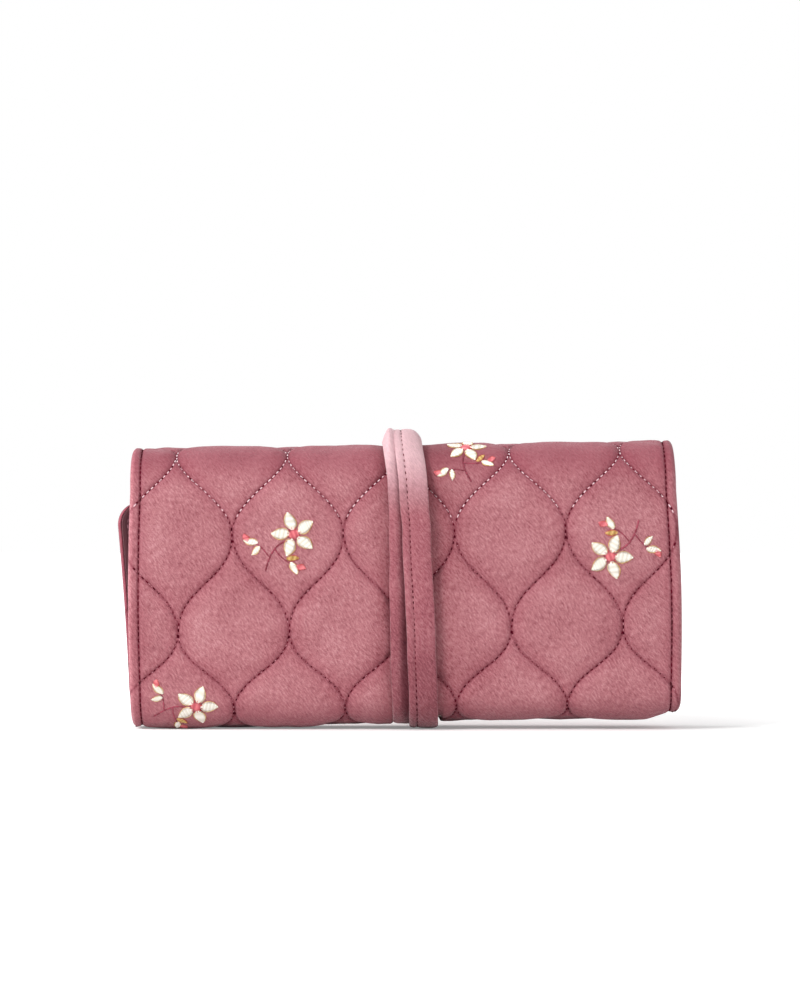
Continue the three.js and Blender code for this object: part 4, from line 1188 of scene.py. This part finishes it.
def pocket_panel(pocket, low):
    """The pocket's front, from low up, with its slit."""
    fold = SLIT_HEIGHT + np.array([0, 0.3, 0.7, 1.2, FOLD_STITCH, 2.1])
    slit_ends = SLIT_HALF + np.array([0, 0.6])
    columns = stepped(-POCKET_HALF, POCKET_HALF, [*slit_ends, *-slit_ends])
    u, v = np.meshgrid(columns, stepped(low, ABOVE_ZIP, [*fold, *-fold]))
    edge = np.minimum(POCKET_HALF - np.abs(u), np.minimum(v - low, ABOVE_ZIP - v))
    slit = np.maximum(np.abs(u) - SLIT_HALF, np.abs(v) - SLIT_HEIGHT)
    swell = 0.22 * lattice(u / 19, v / 12, 51) + 0.10 * lattice(u / 6 + 30, v / 5, 52)
    calm = smooth((edge - 1) / 6) * smooth(slit / 5)
    seam = bell(edge - POCKET_STITCH, 0.4) + bell(slit - FOLD_STITCH, 0.4)
    round_edge = CORNER_ROUNDING * rounding(edge, CORNER_ROUNDING)
    round_fold = 0.35 * bell(np.clip(slit, 0, None), 0.4, 1)
    rise = POCKET_RISE - 0.35 - round_edge - round_fold - 0.3 * seam + (swell - 0.1) * calm
    inner = np.maximum(rise - POCKET_FABRIC, SEAT_GAP - LAP)
    inner = np.where(edge < 0.01, rise - LAP, inner)
    middle_u, middle_v = (u[:-1, 1:] + u[:-1, :-1]) / 2, (v[1:, :-1] + v[:-1, :-1]) / 2
    keep = ~((np.abs(middle_u) < SLIT_HALF) & (np.abs(middle_v) < SLIT_HEIGHT))
    distance = np.minimum(np.abs(edge - POCKET_STITCH), np.abs(slit - FOLD_STITCH))
    surfaces = in_pocket(pocket, u, v, rise), in_pocket(pocket, u, v, inner)
    thing = thick_grid(f"{pocket}_pocket_panel", *surfaces, u, v, keep, distance)
    complete(thing, velvet_pocket, [f"{pocket}_pocket"], f"{pocket}_panel")


def pocket_stitches(pocket, low):
    """Rows round the pocket's edge and round its slit."""
    rows = []
    for half, bottom, top in (
            (POCKET_HALF - POCKET_STITCH, low + POCKET_STITCH, ABOVE_ZIP - POCKET_STITCH),
            (SLIT_HALF + FOLD_STITCH, -SLIT_HEIGHT - FOLD_STITCH, SLIT_HEIGHT + FOLD_STITCH)):
        corners = np.array([(-half, bottom), (half, bottom), (half, top), (-half, top), (-half, bottom)])
        for first, last in zip(corners[:-1], corners[1:]):
            count = int(np.linalg.norm(last - first) / STITCH_PITCH)
            t = (np.arange(count) + 0.5)[:, None] / count
            rows.append(np.concatenate([first + (last - first) * t, np.repeat([last - first], count, 0)], 1))
    u, v, du, dv = np.concatenate(rows).T
    here, ahead = (in_pocket(pocket, u + du * way, v + dv * way, POCKET_RISE - 0.55) for way in (0, 1))
    normals = np.repeat([[0.0, FACING[pocket], 0.0]], len(u), 0)
    axes = here, unit_vectors(ahead - here), normals
    thing = capsules(f"{pocket}_pocket_stitches", *axes, 1.5, 0.42, 0.4, flat_place(u, v))
    complete(thing, thread_rose, body=f"{pocket}_panel")


def zip_tape(pocket, place, way):
    """One tape, above the zip where way is 1 and below it where way is -1."""
    u, v = np.meshgrid(
        np.linspace(-TAPE_HALF, TAPE_HALF, 160),
        [TEETH_INNER, 1.1, 1.5, 2.0, 2.6, 3.2, 4.5, 6.0, 8.0, 9.6, 10.4, 10.8, TAPE_EDGE])
    bead = 0.10 * bell(v - 10.6, 0.3) - 0.12 * bell(v - 3.2, 0.35)
    swell = 0.05 * lattice(u / 9, v / 6, 55)
    rise = TAPE_RISE + TAPE_FABRIC - LAP + bead * 0.5 + swell * smooth((v - 3) / 3)
    surfaces = [in_pocket(pocket, u, way * v, height) for height in (rise, rise - TAPE_FABRIC + LAP)]
    thing = thick_grid(f"{pocket}_tape_{place}", *surfaces, u, v)
    complete(thing, tape_material, [f"{pocket}_zip_tape_{place}"], f"{pocket}_panel")


for pocket, zip_height in ZIP_HEIGHTS.items():
    pocket_panel(pocket, POCKET_LOW - zip_height)
    pocket_stitches(pocket, POCKET_LOW - zip_height)
    zip_tape(pocket, "upper", 1)
    zip_tape(pocket, "lower", -1)


# Ring bar: a stuffed tube that runs out into a flat tab at each end
BAR_CENTRE, BAR_RADIUS, BAR_TAPER, TAB_WIDTH, TAB_LENGTH, TAB_THICK = 1.0, 7.5, 9.0, 13.0, 11.0, 1.4
BAR_HALF = BODY_WIDTH / 2 - 28.0
TAB_Z = INNER_DEPTH + 3 * SEAT_GAP + 2.0 + TAB_THICK / 2
BAR_Z = INNER_DEPTH + SEAT_GAP + BAR_RADIUS
BAR_SEAM = 1.5 * math.pi


def ring_bar():
    reach = BAR_HALF + TAB_LENGTH
    tip_steps, taper = reach - np.array([0.1, 0.3, 0.7]), np.linspace(BAR_HALF - 12, BAR_HALF + 2, 40)
    u = np.concatenate([np.linspace(-reach, reach, 150), taper, -taper, tip_steps, -tip_steps])
    theta = np.linspace(0, 2 * math.pi, 72, endpoint=False)
    u, theta = np.meshgrid(np.unique(np.round(u, 3)), theta, indexing="ij")
    inside = BAR_HALF - np.abs(u)
    full = np.sqrt(unit(1 - (1 - unit(inside / BAR_TAPER)) ** 2.4))
    tip = np.sqrt(np.clip(1 - (1 - unit((reach - np.abs(u)) / 0.8)) ** 2, 0.03, 1))
    gather = 0.30 * np.cos(13 * theta + 2 * lattice(u / 8, theta * 2, 61))
    gather = gather * bell(np.clip(inside - 2, 0, None), 6, 1)
    dent = 0.22 * lattice(u / 11, theta * 2.0, 62) + 0.12 * lattice(u / 5, theta * 3.0, 63)
    seam = 0.45 * bell(theta - BAR_SEAM, 0.07) * full
    radius = BAR_RADIUS - 0.25 + (gather + dent - 0.15) * (full > 0.05) - seam
    power = 2 / (2 + 4 * (1 - full))
    across, upward = (np.sign(way) * np.abs(way) ** power for way in (np.cos(theta), np.sin(theta)))
    half_width, half_height = (flat / 2 * (1 - full) + radius * full for flat in (TAB_WIDTH, TAB_THICK))
    middle = TAB_Z + (BAR_Z - TAB_Z) * full
    y, z = across * half_width * (0.93 + 0.07 * tip), middle + upward * half_height * tip
    points = placed(np.stack([u + BAR_CENTRE, y, z], -1).reshape(-1, 3))
    thing = new_object("stuffed_ring_bar", points, [face[::-1] for face in tube_faces(*u.shape)])
    give(thing, "sheet_place", flat_place(u, theta * BAR_RADIUS))
    give(thing, "seam_distance", (np.abs(theta - BAR_SEAM) * BAR_RADIUS).ravel())
    complete(thing, velvet_pocket, ["ring_bar"], "ring_bar")


def anchor_patch():
    """The patch that is sewn down beside the bar's fixed tab."""
    half_u, half_v, high, edge_radius = 3.5, TAB_WIDTH / 2, 2.6, 1.3
    centre = BAR_CENTRE - BAR_HALF - TAB_LENGTH - SEAT_GAP - half_u
    u, v = np.meshgrid(np.linspace(-half_u, half_u, 29), np.linspace(-half_v, half_v, 45))
    edge = np.minimum(half_u - np.abs(u), half_v - np.abs(v))
    seat = np.full_like(u, INNER_DEPTH + SEAT_GAP)
    top = seat + high - 0.15 - edge_radius * rounding(edge, edge_radius)
    top += 0.12 * lattice(u / 2, v / 3, 71) - 0.35 * bell(edge - edge_radius, 0.35)
    surfaces = [np.stack([u + centre, v, height], -1) for height in (top, seat)]
    thing = thick_grid("anchor_patch", *surfaces, u, v, seam=np.full_like(u, 3.0))
    complete(thing, velvet_pocket, ["ring_bar_anchor"], "root")


ring_bar()
anchor_patch()


# The press stud that holds the strap's end
def press_stud():
    low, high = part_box("strap_stud")
    radius, height, centre = (high.x - low.x) / 2, high.y - low.y, (low + high) / 2
    t = np.linspace(0, HALF_PI, 9)
    shoulder = np.stack([0.98 - 0.16 * t / HALF_PI, 0.3 + 0.5 * np.sin(t)], -1)
    dome = np.stack([0.6 * np.cos(t), 0.7 + 0.3 * np.sin(t)], -1)[:-1]
    share, out = np.concatenate(
        [[(1.0, 0.0), (1.0, 0.3)], shoulder, [(0.78, 0.74), (0.70, 0.66), (0.62, 0.70)], dome]).T[..., None]
    angle = np.linspace(0, 2 * math.pi, 48, endpoint=False)
    x, z = centre.x + radius * share * np.cos(angle), centre.z + radius * share * np.sin(angle)
    points = np.stack(np.broadcast_arrays(x, low.y + height * out, z), -1)
    thing = new_object("press_stud", points.reshape(-1, 3), tube_faces(*x.shape))
    face_outward(thing)
    complete(thing, BRASS, ["strap_stud"], "root")
    squashed(thing)


press_stud()


# Floor, backdrop and light
FLOOR_HALF = 6.0


def stage_floor():
    """A white floor that, for the camera, glows more with its distance and so meets the backdrop."""
    corners = [(x * FLOOR_HALF, y * FLOOR_HALF, 0) for x, y in ((-1, -1), (1, -1), (1, 1), (-1, 1))]
    floor = new_object("floor", corners, [[0, 1, 2, 3]], False)
    made, tree, shader = material("floor")
    tree.nodes.remove(shader)
    plain = node(tree, "BsdfDiffuse", {"Color": (0.9, 0.9, 0.9, 1)}).outputs[0]
    place = node(tree, "TexCoord").outputs["Object"]
    length = node(tree, "VectorMath", {0: place}, operation="LENGTH").outputs["Value"]
    far = maths(tree, "MULTIPLY", maths(tree, "SUBTRACT", length, 0.15, True), 2.5, True)
    strength = maths(tree, "ADD", maths(tree, "MULTIPLY", far, 0.8), 0.22)
    glow = node(tree, "Emission", {"Strength": strength}).outputs[0]
    lit = node(tree, "AddShader", {0: plain, 1: glow}).outputs[0]
    seen = node(tree, "LightPath").outputs["Is Camera Ray"]
    surface = node(tree, "MixShader", {0: seen, 1: plain, 2: lit}).outputs[0]
    connect(tree, tree.nodes["Material Output"], {"Surface": surface})
    floor.data.materials.append(made)


def world_light():
    """A soft white world that looks plain white to the camera."""
    world = bpy.data.worlds.new("studio")
    bpy.context.scene.world = world
    world.use_nodes = True
    tree = world.node_tree
    soft = tree.nodes["Background"]
    connect(tree, soft, {"Color": WHITE, "Strength": 0.5})
    backdrop = node(tree, "Background", {"Color": WHITE, "Strength": 1.0}).outputs[0]
    path = node(tree, "LightPath").outputs
    seen = maths(tree, "MAXIMUM", path["Is Glossy Ray"], path["Is Transmission Ray"])
    seen = maths(tree, "MAXIMUM", path["Is Camera Ray"], seen)
    surface = node(tree, "MixShader", {0: seen, 1: soft.outputs[0], 2: backdrop}).outputs[0]
    connect(tree, tree.nodes["World Output"], {"Surface": surface})


def lamp(name, place, size, power):
    light = bpy.data.lights.new(name, "AREA")
    light.shape, light.size, light.size_y, light.energy = "RECTANGLE", size[0], size[1], power
    thing = bpy.data.objects.new(name, light)
    bpy.context.scene.collection.objects.link(thing)
    thing.location = place
    aim = np.array([0, 0, 0.06]) - np.array(place)
    thing.rotation_euler = Vector(aim).to_track_quat("-Z", "Y").to_euler()


stage_floor()
world_light()
lamp("key", (-1.1, -1.1, 1.0), (0.6, 0.6), 21.5)
lamp("fill", (1.2, -1.1, 0.5), (0.9, 0.9), 6)
lamp("top", (-0.3, -0.2, 1.6), (1.0, 0.6), 5)
lamp("rim", (-1.3, 0.35, 0.35), (0.3, 0.7), 14)

bpy.context.scene.view_settings.view_transform = "Standard"
